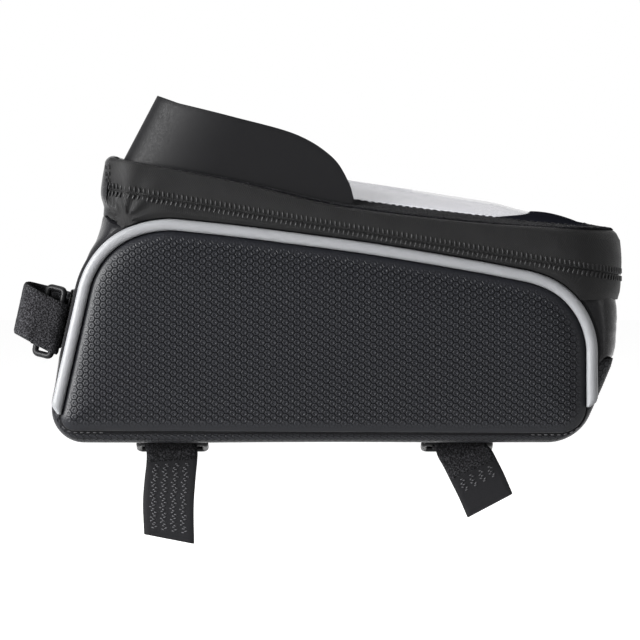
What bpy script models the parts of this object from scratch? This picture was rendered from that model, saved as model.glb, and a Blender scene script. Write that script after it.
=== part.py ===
"""Bike phone bag: a top-tube bag with a zipped lid, a clear phone window and a sun visor.

Metres, +Z up. The origin is the centre of the flat bottom face, which sits on the frame tube.
-X is the front, where the bag straps to the head tube, +X points to the rider, -Y is the near side.
"""
import math

import bmesh
import bpy
from mathutils import Vector

# Clearances
GAP = 0.0003                    # between pieces that touch
LAYER_GAP = 0.0004              # between curved layers that lie on each other
SEAM_GAP = 0.0009               # between gusset ends that meet at an angle

# Side panels, outline in X and Z, front bottom corner first, then clockwise
PANEL_CORNERS = ((-0.1073, 0.0042), (-0.0887, 0.0857), (0.0958, 0.0591), (0.0963, 0.0042))
PANEL_RADII = (0.005, 0.027, 0.031, 0.010)
PANEL_THICKNESS = 0.0018
PANEL_BULGE = 0.0050
PANEL_BULGE_RUN = 0.0060        # how fast the panel rises behind its rim
PANEL_ROWS = (0.0, 0.0012, 0.0030, 0.0060, 0.0110, 0.0200)  # insets of its rows from the rim
BASE_HALF_WIDTH = 0.0430        # of the bag at Z = 0
SHOULDER_HALF_WIDTH = 0.0472    # of the bag at SHOULDER_Z
SHOULDER_Z = 0.0900

# Reflective piping round each side panel
PIPING_WIDTH = 0.0044
PIPING_TIP_WIDTH = 0.0008
PIPING_TAPER = 0.0090
PIPING_CROWN = 0.0016
PIPING_ROOT = 0.0012

# Gussets: the middle line of the wall that joins the side panels, in X and Z
GUSSET_THICKNESS = 0.0016
FRONT_SPINE = ((-0.1102, 0.0148), (-0.1071, 0.0355), (-0.1013, 0.0591), (-0.0893, 0.0886))
FRONT_FLAT = 0.55               # share of the width that is flat across
BOTTOM_FRONT_CORNER = (-0.1104, 0.0)
BOTTOM_FRONT_RADIUS = 0.0125
BOTTOM_REAR_CORNER = (0.0919, 0.0)
BOTTOM_REAR_RADIUS = 0.018
BOTTOM_LAP = (0.1066, 0.0330)   # top edge of the bottom panel, where it wraps up the rear
BOTTOM_FLAT = 0.76
REAR_SPINE = ((0.1058, 0.0333), (0.1073, 0.0415), (0.1082, 0.0550))
REAR_FLAT = 0.50

# Lid and zip: plan outline, and heights along X
LID_FRONT_X = -0.0898
LID_REAR_X = 0.1102
LID_OVERHANG = 0.0010           # of the lid past the body's shoulder, each side
LID_HALF_WIDTH = SHOULDER_HALF_WIDTH + LID_OVERHANG
LID_FRONT_RADIUS = 0.014
LID_REAR_RADIUS = 0.026
BAND_THICKNESS = 0.0015
ZIP_FRONT_Z = 0.0985            # zip centre line at LID_FRONT_X
ZIP_SLOPE = -0.1683
ZIP_SLIT = 0.0016               # open line between the two tapes
COIL_HEIGHT = 0.0022
COIL_DEPTH = 0.0014
RIM = ((-0.0900, 0.1108), (-0.0400, 0.1012), (-0.0017, 0.0921), (0.0348, 0.0871),
       (0.0700, 0.0840), (0.1102, 0.0828))
RIDGE = ((-0.0900, 0.1112), (-0.0600, 0.1095), (0.0050, 0.1007), (0.0720, 0.0893),
         (0.0830, 0.0878), (0.0950, 0.0845), (0.1102, 0.0829))
CROWN_POWER = 1.3

# Hinge panel at the lid's front
HINGE_Z = 0.0893                # lower edge of the hinge panel
HINGE_WRAP = math.radians(33)   # how far it turns round the front corners

# Lid top layers, set in from the rim; the window stops short of the rider's end
FRAME_THICKNESS = 0.0015
FRAME_INNER_INSET = 0.0170
LOOP_THICKNESS = 0.0010
LOOP_OUTER_INSET = 0.0022
LOOP_INNER_INSET = 0.0130
LOOP_ROWS = (LOOP_OUTER_INSET, 0.0050, 0.0080, 0.0105, LOOP_INNER_INSET)
FILM_THICKNESS = 0.0008
FILM_ROWS = (LOOP_INNER_INSET + GAP, 0.0220, 0.0330, LID_HALF_WIDTH)
WINDOW_REAR_X = 0.0665
FILM_FOLD_X = 0.0302            # where the film's rows meet, at the rider's end

# Phone pocket under the window
POCKET_THICKNESS = 0.0010
POCKET_ABOVE_ZIP = 0.0039
POCKET_MOUTH = 0.0140           # open end at the rider's side, and its corner radius

# Sun visor
VISOR_THICKNESS = 0.0010
VISOR_SEAT_GAP = 0.0007         # between the visor's foot and the crowned loop strip
VISOR_INSET = 0.0040            # from the lid's rim to the visor's sides
VISOR_FRONT_X = -0.0822
VISOR_REAR_X = 0.0066
VISOR_TOP = ((-0.0610, 0.1313), (-0.0400, 0.1260), (-0.0157, 0.1192), (-0.0017, 0.1105),
             (0.0046, 0.1010), (0.0066, 0.0945))
VISOR_TIP_Z = 0.1344
VISOR_LEAN = math.radians(28)
VISOR_BEND_RADIUS = 0.009
VISOR_HOOK_WIDTH = 0.0060
VISOR_HOOK_THICKNESS = 0.0010
VISOR_HOOK_FRONT_X = -0.0600
VISOR_HOOK_REAR_X = -0.0020

# Lining and base board
LINING_THICKNESS = 0.0008
LINING_FRONT_FOOT_X = -0.1000
LINING_FRONT_TOP_X = -0.0785
LINING_REAR_X = 0.0915
LINING_BELOW_ZIP = 0.0042
LINING_RADIUS = 0.008
BOARD_THICKNESS = 0.0024
BOARD_FRONT_X = -0.0920
BOARD_REAR_X = 0.0790
BOARD_HALF_WIDTH = 0.0330
BOARD_RADIUS = 0.008

# Zip sliders on the far side
SLIDER_LENGTH = 0.0090
SLIDER_HEIGHT = 0.0064
SLIDER_PLATE = 0.0012
SLIDER_POST_LENGTH = 0.0024
SLIDER_FRONT_X = 0.0140
SLIDER_REAR_X = 0.0260
PIN_RADIUS = 0.0006
EAR_THICKNESS = 0.0009
PULL_LENGTH = 0.0240
PULL_THICKNESS = 0.0011
PULL_WIDTH = 0.0038
PULL_EYE_WALL = 0.0009
PULL_EYE_MOUTH = math.radians(35)   # half the opening of the pull's eye
PULL_NECK = math.radians(46)    # half the part of the eye that the pull's tail takes up

# Straps and their rings
STRAP_WIDTH = 0.0200
STRAP_THICKNESS = 0.0012
HOOK_THICKNESS = 0.0009
RING_LENGTH = 0.0290
RING_WIDTH = 0.0102
RING_WIRE = 0.0013              # radius of the wire
STRAP_TILT = math.radians(12.5)
STRAP_SEAT_Z = 0.0470           # height of the front strap's middle on the front gusset
ANCHOR_WIDTH = 0.0290
ANCHOR_HEIGHT = 0.0240
ANCHOR_THICKNESS = 0.0012
ANCHOR_LIFT = 0.0009            # off the gusset, whose face is slightly curved
STRAP_FRONT_X = -0.0655
STRAP_REAR_X = 0.0485
STRAP_SEAT_NEAR_Y = -0.0140     # where the hanging end leaves the bag's bottom
STRAP_SEAT_FAR_Y = 0.0175       # where the ring's fold starts
STRAP_FOLD = math.radians(245)  # how far the far end wraps round the ring
RING_DROOP = math.radians(20)

# Hanging ends of the bottom straps: X from the strap's place, Y, Z, and its width's turn in degrees
STRAIGHT_HANG = ((0.0003, -0.0172, -0.0018, 0), (0.0012, -0.0194, -0.0042, 2),
                 (0.0012, -0.0200, -0.0080, 3), (0.0004, -0.0203, -0.0160, 0),
                 (-0.0002, -0.0204, -0.0250, -5), (0.0003, -0.0202, -0.0372, -11))
LEANING_HANG = ((0.0002, -0.0172, -0.0018, 4), (0.0010, -0.0194, -0.0042, 12),
                (0.0030, -0.0200, -0.0072, 20), (0.0052, -0.0202, -0.0115, 24),
                (0.0082, -0.0203, -0.0175, 27), (0.0117, -0.0202, -0.0255, 28))
STRAIGHT_PATCH_START = 2        # which of those points the hook patch starts from
LEANING_PATCH_START = 3

# Front strap in its own frame: forward from the gusset, sideways, and shift along its width
FRONT_BAR_REAR = (0.0040, -0.0188)      # the ring's two long bars, forward and sideways
FRONT_BAR_AIM = (0.0104, -0.0148)       # the other bar lies this way
FRONT_RING_SHIFT = -0.0022
FRONT_SEAT = ((0.0, 0.0015, 0.0), (0.0, 0.0080, 0.0), (0.0006, 0.0140, 0.0))
FRONT_LOOP = ((0.0060, 0.0187, 0.0), (0.0120, 0.0200, 0.0002), (0.0170, 0.0180, 0.0004),
              (0.0196, 0.0120, 0.0006), (0.0202, 0.0, 0.0006), (0.0200, -0.0120, 0.0004),
              (0.0188, -0.0185, 0.0002), (0.0150, -0.0212, -0.0008), (0.0095, -0.0214, -0.0024))
FRONT_WRAP_SHIFTS = (-0.0038, -0.0042, -0.0042)
FRONT_TAIL = ((0.0080, -0.0178, -0.0030), (0.0125, -0.0184, -0.0020))
FRONT_TAB = ((0.0, -0.0015), (0.0, -0.0060), (0.0022, -0.0098))


def clear_scene():
    for obj in list(bpy.data.objects):
        bpy.data.objects.remove(obj, do_unlink=True)
    for mesh in list(bpy.data.meshes):
        bpy.data.meshes.remove(mesh)


def material(name, colour, roughness, metallic=0.0, alpha=1.0):
    mat = bpy.data.materials.new(name)
    mat.use_nodes = True
    shader = mat.node_tree.nodes["Principled BSDF"]
    shader.inputs["Base Color"].default_value = (*colour, 1.0)
    shader.inputs["Roughness"].default_value = roughness
    shader.inputs["Metallic"].default_value = metallic
    shader.inputs["Alpha"].default_value = alpha
    return mat


# Curves and outlines in a plane

def left_of(direction):
    return Vector((-direction.y, direction.x))


def turned(v, angle):
    c, s = math.cos(angle), math.sin(angle)
    return Vector((c * v.x - s * v.y, s * v.x + c * v.y))


def rounded_outline(corners, radii, run_counts, arc_counts):
    """Closed clockwise outline as arcs[i] and runs[i] of (point, outward normal)."""
    count = len(corners)
    corner_data = []
    for i in range(count):
        corner = Vector(corners[i])
        incoming = (corner - Vector(corners[i - 1])).normalized()
        outgoing = (Vector(corners[(i + 1) % count]) - corner).normalized()
        turn = math.acos(max(-1.0, min(1.0, incoming.dot(outgoing))))
        reach = radii[i] * math.tan(turn / 2)
        corner_data.append((corner - incoming * reach, corner + outgoing * reach, incoming, outgoing, turn))
    arcs, runs = [], []
    for i in range(count):
        start, stop, incoming, outgoing, turn = corner_data[i]
        centre = start - left_of(incoming) * radii[i]
        arc = []
        for k in range(arc_counts[i] + 1):
            normal = turned(left_of(incoming), -turn * k / arc_counts[i])
            arc.append((centre + normal * radii[i], normal))
        arcs.append(arc)
        target = corner_data[(i + 1) % count][0]
        runs.append([(stop.lerp(target, k / run_counts[i]), left_of(outgoing))
                     for k in range(1, run_counts[i])])
    return arcs, runs


def flatten(arcs, runs):
    stations = []
    for arc, run in zip(arcs, runs):
        stations += arc + run
    return stations


def smooth_curve(points, per_span):
    """Catmull-Rom curve through the points."""
    pts = [Vector(p) for p in points]
    pts = [pts[0] * 2 - pts[1]] + pts + [pts[-1] * 2 - pts[-2]]
    curve = []
    for i in range(1, len(pts) - 2):
        a, b, c, d = pts[i - 1], pts[i], pts[i + 1], pts[i + 2]
        for k in range(per_span):
            t = k / per_span
            curve.append(0.5 * (2 * b + (c - a) * t + (2 * a - 5 * b + 4 * c - d) * t ** 2
                                + (3 * b - a - 3 * c + d) * t ** 3))
    curve.append(pts[-2])
    return curve


def lengths_along(points):
    total = [0.0]
    for a, b in zip(points, points[1:]):
        total.append(total[-1] + (b - a).length)
    return total


def point_at(points, distance):
    along = lengths_along(points)
    distance = max(0.0, min(along[-1], distance))
    for i in range(len(points) - 1):
        if distance <= along[i + 1]:
            span = along[i + 1] - along[i]
            return points[i].lerp(points[i + 1], (distance - along[i]) / span if span else 0.0)
    return points[-1].copy()


def resample(points, count, start_cut=0.0, end_cut=0.0):
    total = lengths_along(points)[-1]
    first, last = start_cut, total - end_cut
    return [point_at(points, first + (last - first) * k / (count - 1)) for k in range(count)]


def shortened(points, start_cut=0.0, end_cut=0.0):
    """The same stations, with the first and last moved in along the line."""
    total = lengths_along(points)[-1]
    result = [p.copy() for p in points]
    result[0] = point_at(points, start_cut)
    result[-1] = point_at(points, total - end_cut)
    return result


def height_on(curve, x):
    """Height of a curve that runs in +X, at x."""
    if x <= curve[0].x:
        return curve[0].y
    for a, b in zip(curve, curve[1:]):
        if x <= b.x:
            return a.y + (b.y - a.y) * (x - a.x) / (b.x - a.x)
    return curve[-1].y


# Shared forms of the bag

def half_width(z):
    return BASE_HALF_WIDTH + (SHOULDER_HALF_WIDTH - BASE_HALF_WIDTH) * z / SHOULDER_Z


def zip_z(x):
    return ZIP_FRONT_Z + ZIP_SLOPE * (x - LID_FRONT_X)


RIM_CURVE = smooth_curve(RIM, 6)
RIDGE_CURVE = smooth_curve(RIDGE, 6)
PLAN_CENTRE_X = (LID_FRONT_X + LID_REAR_X) / 2
PLAN_HALF_LENGTH = (LID_REAR_X - LID_FRONT_X) / 2


def lid_z(x, inset):
    """Height of the lid's top surface, inset from its rim."""
    share = 1.0 - (1.0 - min(1.0, inset / LID_HALF_WIDTH)) ** CROWN_POWER
    rim = height_on(RIM_CURVE, x)
    return rim + (height_on(RIDGE_CURVE, x) - rim) * share


def inset_at(x, y):
    return min(LID_HALF_WIDTH - abs(y), PLAN_HALF_LENGTH - abs(x - PLAN_CENTRE_X))


def plan_outline():
    h = LID_HALF_WIDTH
    corners = ((LID_FRONT_X, -h), (LID_FRONT_X, h), (LID_REAR_X, h), (LID_REAR_X, -h))
    radii = (LID_FRONT_RADIUS, LID_FRONT_RADIUS, LID_REAR_RADIUS, LID_REAR_RADIUS)
    return rounded_outline(corners, radii, (4, 12, 3, 12), (5, 5, 6, 6))


def piping_width(stations):
    along = lengths_along([p for p, n in stations])
    widths = []
    for distance in along:
        share = min(1.0, min(distance, along[-1] - distance) / PIPING_TAPER)
        share = math.sin(share * math.pi / 2)
        widths.append(PIPING_TIP_WIDTH + (PIPING_WIDTH - PIPING_TIP_WIDTH) * share)
    return widths


PANEL_ARCS, PANEL_RUNS = rounded_outline(PANEL_CORNERS, PANEL_RADII, (5, 8, 3, 8), (3, 7, 7, 4))
PIPING_STATIONS = (PANEL_ARCS[0][-1:] + PANEL_RUNS[0] + PANEL_ARCS[1] + PANEL_RUNS[1]
                   + PANEL_ARCS[2] + PANEL_RUNS[2] + PANEL_ARCS[3][:1])
PIPING_WIDTHS = piping_width(PIPING_STATIONS)
PIPING_EDGE = [p + n * (w + 2 * GAP) for (p, n), w in zip(PIPING_STATIONS, PIPING_WIDTHS)]
FRONT_SPLIT = 1 + len(PANEL_RUNS[0]) + (len(PANEL_ARCS[1]) + 1) // 2


def split_descending(points, z):
    """The points down to height z, and those below it."""
    for i in range(len(points) - 1):
        a, b = points[i], points[i + 1]
        if a.y >= z > b.y:
            cut = a.lerp(b, (a.y - z) / (a.y - b.y))
            return points[:i + 1] + [cut], [cut] + points[i + 1:]
    raise ValueError("the outline doesn't reach that height")


FRONT_EDGE = PIPING_EDGE[:FRONT_SPLIT + 1]
TOP_AND_REAR = PIPING_EDGE[FRONT_SPLIT:]
TOP_EDGE, REAR_LOWER = split_descending(TOP_AND_REAR, REAR_SPINE[-1][1])
REAR_EDGE, LAP_EDGE = split_descending(REAR_LOWER, (REAR_SPINE[0][1] + BOTTOM_LAP[1]) / 2)


def band_foot_z(x):
    """Lower edge of the band, along the piping and round both ends."""
    if x < TOP_EDGE[0].x:
        share = (TOP_EDGE[0].x - x) / (TOP_EDGE[0].x - LID_FRONT_X)
        return TOP_EDGE[0].y + (HINGE_Z - TOP_EDGE[0].y) * share + SEAM_GAP
    return height_on(TOP_EDGE, x) + SEAM_GAP


# Mesh builders

def finish(name, bm, mat):
    bmesh.ops.remove_doubles(bm, verts=bm.verts, dist=1e-6)
    mesh = bpy.data.meshes.new(name)
    bm.to_mesh(mesh)
    bm.free()
    mesh.materials.append(mat)
    mesh.shade_smooth()
    mesh.set_sharp_from_angle(angle=math.radians(35))
    obj = bpy.data.objects.new(name, mesh)
    bpy.context.scene.collection.objects.link(obj)
    return obj


def sheet(name, rows, thickness, outward, mat, closed=False, cap=False):
    """A curved sheet from rows of points, thickened away from the outward direction."""
    bm = bmesh.new()
    grid = [[bm.verts.new(p) for p in row] for row in rows]
    count = len(rows[0])
    for upper, lower in zip(grid, grid[1:]):
        for k in range(count if closed else count - 1):
            corner = [upper[k], upper[(k + 1) % count], lower[(k + 1) % count], lower[k]]
            bm.faces.new(corner)
    if cap:
        bm.faces.new(grid[-1])
    bmesh.ops.remove_doubles(bm, verts=bm.verts, dist=1e-6)
    bmesh.ops.recalc_face_normals(bm, faces=bm.faces)
    bm.normal_update()
    facing = sum((face.normal.dot(outward(face.calc_center_median())) * face.calc_area()
                  for face in bm.faces), 0.0)
    if facing < 0:
        bmesh.ops.reverse_faces(bm, faces=bm.faces)
    obj = finish(name, bm, mat)
    solidify = obj.modifiers.new("thickness", "SOLIDIFY")
    solidify.thickness = thickness
    solidify.offset = -1.0
    solidify.use_even_offset = True
    solidify.use_quality_normals = True
    return obj


def loft(name, sections, mat, closed=False):
    """A solid through sections with the same number of points."""
    bm = bmesh.new()
    rings = [[bm.verts.new(p) for p in section] for section in sections]
    count = len(sections[0])
    pairs = list(zip(rings, rings[1:]))
    if closed:
        pairs.append((rings[-1], rings[0]))
    for a, b in pairs:
        for k in range(count):
            bm.faces.new([a[k], a[(k + 1) % count], b[(k + 1) % count], b[k]])
    if not closed:
        bm.faces.new(rings[0])
        bm.faces.new(list(reversed(rings[-1])))
    bmesh.ops.recalc_face_normals(bm, faces=bm.faces)
    return finish(name, bm, mat)


def prism(name, outline, direction, mat):
    """An outline of 3-D points extruded along a vector."""
    return loft(name, [outline, [Vector(p) + direction for p in outline]], mat)


def ribbon(name, path, widths, thickness, width, mat):
    """A strap along path; widths gives its width direction at each point of the path."""
    sections = []
    for i, point in enumerate(path):
        ahead = path[min(i + 1, len(path) - 1)] - path[max(i - 1, 0)]
        across = widths[i].normalized()
        out = ahead.cross(across).normalized() * thickness / 2
        side = across * width / 2
        sections.append([point - side - out, point + side - out, point + side + out, point - side + out])
    return loft(name, sections, mat)


def wire_ring(name, centre, long_dir, short_dir, mat):
    """A rectangular ring of round wire with rounded corners."""
    long_half = RING_LENGTH / 2 - RING_WIRE
    short_half = RING_WIDTH / 2 - RING_WIRE
    corners = ((-long_half, -short_half), (-long_half, short_half), (long_half, short_half),
               (long_half, -short_half))
    radius = RING_WIRE * 1.2
    arcs, runs = rounded_outline(corners, (radius,) * 4, (1, 1, 1, 1), (3, 3, 3, 3))
    up = long_dir.cross(short_dir).normalized()
    sections = []
    for point, normal in flatten(arcs, runs):
        middle = centre + long_dir * point.x + short_dir * point.y
        outward = long_dir * normal.x + short_dir * normal.y
        sections.append([middle + (outward * math.cos(a) + up * math.sin(a)) * RING_WIRE
                         for a in (math.tau * k / 8 for k in range(8))])
    return loft(name, sections, mat, closed=True)


def union(name, pieces, mat):
    """Join overlapping solids into one."""
    base = pieces[0]
    for other in pieces[1:]:
        cut = base.modifiers.new("join", "BOOLEAN")
        cut.operation = "UNION"
        cut.solver = "EXACT"
        cut.object = other
    depsgraph = bpy.context.evaluated_depsgraph_get()
    joined = bpy.data.meshes.new_from_object(base.evaluated_get(depsgraph))
    for piece in pieces:
        bpy.data.objects.remove(piece, do_unlink=True)
    joined.name = name
    joined.materials.clear()
    joined.materials.append(mat)
    obj = bpy.data.objects.new(name, joined)
    bpy.context.scene.collection.objects.link(obj)
    return obj


def set_origin(obj, point):
    """Move the object's origin to a point and leave its shape where it is."""
    for vert in obj.data.vertices:
        vert.co -= point
    obj.location = point


# Body

def side_panel(name, side, mat):
    """Moulded panel: a rim, a quick rise behind it and a flat field."""
    stations = flatten(PANEL_ARCS, PANEL_RUNS)
    xs = [p.x for p, n in stations]
    zs = [p.y for p, n in stations]
    centre = Vector(((min(xs) + max(xs)) / 2, (min(zs) + max(zs)) / 2))
    half = Vector(((max(xs) - min(xs)) / 2, (max(zs) - min(zs)) / 2))
    rows = []
    for inset in PANEL_ROWS:
        rise = PANEL_BULGE * (1.0 - math.exp(-inset / PANEL_BULGE_RUN))
        row = []
        for point, normal in stations:
            x = centre.x + (point.x - centre.x) * (1.0 - inset / half.x)
            z = centre.y + (point.y - centre.y) * (1.0 - inset / half.y)
            row.append(Vector((x, side * (half_width(z) + rise), z)))
        rows.append(row)
    return sheet(name, rows, PANEL_THICKNESS, lambda p: Vector((0, side, 0)), mat, closed=True, cap=True)


def piping(name, side, mat):
    """A flat-backed bead that narrows to a point at both ends."""
    sections = []
    for (point, normal), width in zip(PIPING_STATIONS, PIPING_WIDTHS):
        middle = point + normal * (GAP + width / 2)
        base = half_width(middle.y) - PIPING_ROOT
        section = []
        steps = 6
        for k in range(steps + 1):
            angle = math.pi * k / steps
            across = middle + normal * (math.cos(angle) * width / 2)
            rise = PIPING_ROOT + PIPING_CROWN * math.sin(angle) * min(1.0, width / PIPING_WIDTH + 0.3)
            section.append(Vector((across.x, side * (base + rise), across.y)))
        for share in (-1.0, 1.0):
            across = middle + normal * (share * width / 2)
            section.append(Vector((across.x, side * base, across.y)))
        sections.append(section)
    return loft(name, sections, mat)


def gusset(name, edge, spine, flat, mat):
    """Wall strip from the near panel's edge over the spine to the far panel's edge."""
    turns = 4
    profile = []
    for k in range(turns + 1):
        angle = math.pi / 2 * k / turns
        profile.append((-(flat + (1 - flat) * math.cos(angle)), math.sin(angle)))
    profile += [(-v, q) for v, q in reversed(profile)]
    rows = []
    for rim, middle in zip(edge, spine):
        reach = half_width(rim.y) - PANEL_THICKNESS - GAP
        row = []
        for v, q in profile:
            at = rim.lerp(middle, q)
            row.append(Vector((at.x, v * reach, at.y)))
        rows.append(row)
    inside = Vector((0.0, 0.0, 0.045))
    return sheet(name, rows, GUSSET_THICKNESS, lambda p: p - inside, mat)


def front_gusset(mat):
    edge = resample(FRONT_EDGE, 9, start_cut=SEAM_GAP)
    spine = resample(smooth_curve(FRONT_SPINE, 6), 9, start_cut=SEAM_GAP)
    return gusset("front_gusset", edge, spine, FRONT_FLAT, mat)


def rear_gusset(mat):
    edge = resample(REAR_EDGE, 6, start_cut=GAP, end_cut=GAP)
    spine = resample(list(reversed(smooth_curve(REAR_SPINE, 6))), 6, start_cut=GAP, end_cut=GAP)
    return gusset("rear_gusset", edge, spine, REAR_FLAT, mat)


def bottom_panel(mat):
    corners = (BOTTOM_FRONT_CORNER, FRONT_SPINE[0], BOTTOM_LAP, BOTTOM_REAR_CORNER)
    radii = (BOTTOM_FRONT_RADIUS, 0.0, 0.0, BOTTOM_REAR_RADIUS)
    arcs, runs = rounded_outline(corners, radii, (1, 1, 1, 8), (4, 1, 1, 5))
    front_tail = resample([p for p, n in arcs[0]] + [Vector(FRONT_SPINE[0])], 5)
    spine = [Vector(BOTTOM_LAP)] + [p for p, n in arcs[3]] + [p for p, n in runs[3]] + front_tail
    rear = [LAP_EDGE[0]] + [p + n * 2 * GAP for p, n in resample_arc(PANEL_ARCS[3], 6)]
    floor = [p + n * 2 * GAP for p, n in PANEL_RUNS[3]]
    front = [p + n * 2 * GAP for p, n in resample_arc(PANEL_ARCS[0], 5)]
    edge = rear + floor + front
    return gusset("bottom_panel", shortened(edge, GAP, GAP), shortened(spine, GAP, GAP), BOTTOM_FLAT, mat)


def resample_arc(arc, count):
    """The same arc with another number of stations."""
    result = []
    for k in range(count):
        place = k / (count - 1) * (len(arc) - 1)
        i = min(int(place), len(arc) - 2)
        share = place - i
        (p0, n0), (p1, n1) = arc[i], arc[i + 1]
        result.append((p0.lerp(p1, share), n0.lerp(n1, share).normalized()))
    return result


# Bands, zip and hinge panel

def plan_path():
    """Stations of the lid's outline from the near front corner's middle round the rear."""
    arcs, runs = plan_outline()
    near_front = arcs[0]
    far_front = arcs[1]
    wrap = HINGE_WRAP / (math.pi / 2) * (len(near_front) - 1)
    near_from_seam = partial_arc(near_front, 0.0, len(near_front) - 1 - wrap)
    far_to_seam = partial_arc(far_front, wrap, len(far_front) - 1)
    return (far_to_seam + runs[1] + arcs[2] + runs[2] + arcs[3] + runs[3] + near_from_seam,
            partial_arc(near_front, len(near_front) - 1 - wrap, len(near_front) - 1) + runs[0]
            + partial_arc(far_front, 0.0, wrap))


def partial_arc(arc, first, last):
    """Stations of an arc between two places counted in its steps."""
    places = [first] + [k for k in range(len(arc)) if first + 0.05 < k < last - 0.05] + [last]
    result = []
    for place in places:
        i = min(int(place), len(arc) - 2)
        share = place - i
        (p0, n0), (p1, n1) = arc[i], arc[i + 1]
        result.append((p0.lerp(p1, share), n0.lerp(n1, share).normalized()))
    return result


def trimmed(stations, cut):
    """Stations with both ends drawn in by cut."""
    result = list(stations)
    for end, inner in ((0, 1), (-1, -2)):
        point, normal = result[end]
        toward = (result[inner][0] - point).normalized()
        result[end] = (point + toward * cut, normal)
    return result


def wall(name, stations, inset, thickness, low, high, mat, closed=False):
    """An upright band along stations in plan, between two heights that depend on x."""
    sections = []
    for point, normal in stations:
        outer = point - normal * inset
        inner = point - normal * (inset + thickness)
        foot, top = low(point.x), high(point.x)
        sections.append([Vector((outer.x, outer.y, foot)), Vector((outer.x, outer.y, top)),
                         Vector((inner.x, inner.y, top)), Vector((inner.x, inner.y, foot))])
    return loft(name, sections, mat, closed)


def bands_and_zip(fabric, hinge_fabric, coil):
    band_path, hinge_path = plan_path()
    band_path = trimmed(band_path, GAP / 2)
    hinge_path = trimmed(hinge_path, GAP / 2)
    half_slit = ZIP_SLIT / 2
    coil_inset = BAND_THICKNESS + GAP
    pieces = [
        wall("body_band", band_path, 0.0, BAND_THICKNESS, band_foot_z,
             lambda x: zip_z(x) - half_slit, fabric),
        wall("lid_skirt", band_path, 0.0, BAND_THICKNESS, lambda x: zip_z(x) + half_slit,
             lambda x: height_on(RIM_CURVE, x), fabric),
        wall("zip_coil_lower", band_path, coil_inset, COIL_DEPTH,
             lambda x: zip_z(x) - half_slit - COIL_HEIGHT, lambda x: zip_z(x) - half_slit, coil),
        wall("zip_coil_upper", band_path, coil_inset, COIL_DEPTH, lambda x: zip_z(x) + half_slit,
             lambda x: zip_z(x) + half_slit + COIL_HEIGHT, coil),
        wall("hinge_panel", hinge_path, 0.0, BAND_THICKNESS, lambda x: HINGE_Z,
             lambda x: height_on(RIM_CURVE, x), hinge_fabric),
    ]
    return pieces


# Lid top

def rear_inset(inset):
    """How far a ring stands in from the rider's end, where the margin is wide."""
    if inset <= LOOP_OUTER_INSET:
        return inset
    margin = LID_REAR_X - WINDOW_REAR_X
    if inset <= LOOP_INNER_INSET:
        share = (inset - LOOP_OUTER_INSET) / (LOOP_INNER_INSET - LOOP_OUTER_INSET)
        return LOOP_OUTER_INSET + (margin - LOOP_OUTER_INSET) * share
    share = (inset - LOOP_INNER_INSET) / (LID_HALF_WIDTH - LOOP_INNER_INSET)
    return margin + (LID_REAR_X - FILM_FOLD_X - margin) * share


def lid_ring(stations, inset, drop):
    """The lid's outline inset by a distance, on its top surface or below it."""
    ring = []
    for point, normal in stations:
        end_inset = rear_inset(inset) if point.x > PLAN_CENTRE_X else inset
        x = PLAN_CENTRE_X + (point.x - PLAN_CENTRE_X) * (1.0 - end_inset / PLAN_HALF_LENGTH)
        y = point.y * (1.0 - inset / LID_HALF_WIDTH)
        ring.append(Vector((x, y, lid_z(x, inset_at(x, y)) - drop)))
    return ring


def upward(place):
    return Vector((0.0, 0.0, 1.0))


def lid_top(fabric, loop, film):
    stations = flatten(*plan_outline())
    below_loop = LOOP_THICKNESS + LAYER_GAP
    frame_insets = (BAND_THICKNESS + GAP, *LOOP_ROWS, FRAME_INNER_INSET)
    frame_rows = [lid_ring(stations, inset, below_loop) for inset in frame_insets]
    loop_rows = [lid_ring(stations, inset, 0.0) for inset in LOOP_ROWS]
    film_rows = [lid_ring(stations, inset, 0.0) for inset in FILM_ROWS]
    return [sheet("lid_top_frame", frame_rows, FRAME_THICKNESS, upward, fabric, closed=True),
            sheet("loop_strip", loop_rows, LOOP_THICKNESS, upward, loop, closed=True),
            sheet("window_film", film_rows, FILM_THICKNESS, upward, film, closed=True)]


def pocket_back(mat):
    """Flat back of the phone pocket, open at the rider's end."""
    inset = BAND_THICKNESS + GAP
    front = LID_FRONT_X + inset
    rear = LID_REAR_X - inset - POCKET_MOUTH
    half = LID_HALF_WIDTH - inset
    corners = ((front, -half), (front, half), (rear, half), (rear, -half))
    front_radius = LID_FRONT_RADIUS - inset
    arcs, runs = rounded_outline(corners, (front_radius, front_radius, POCKET_MOUTH, POCKET_MOUTH),
                                 (1, 1, 1, 1), (5, 5, 6, 6))
    outline = [Vector((p.x, p.y, zip_z(p.x) + POCKET_ABOVE_ZIP)) for p, n in flatten(arcs, runs)]
    return prism("pocket_back", outline, Vector((0, 0, POCKET_THICKNESS)), mat)


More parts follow.
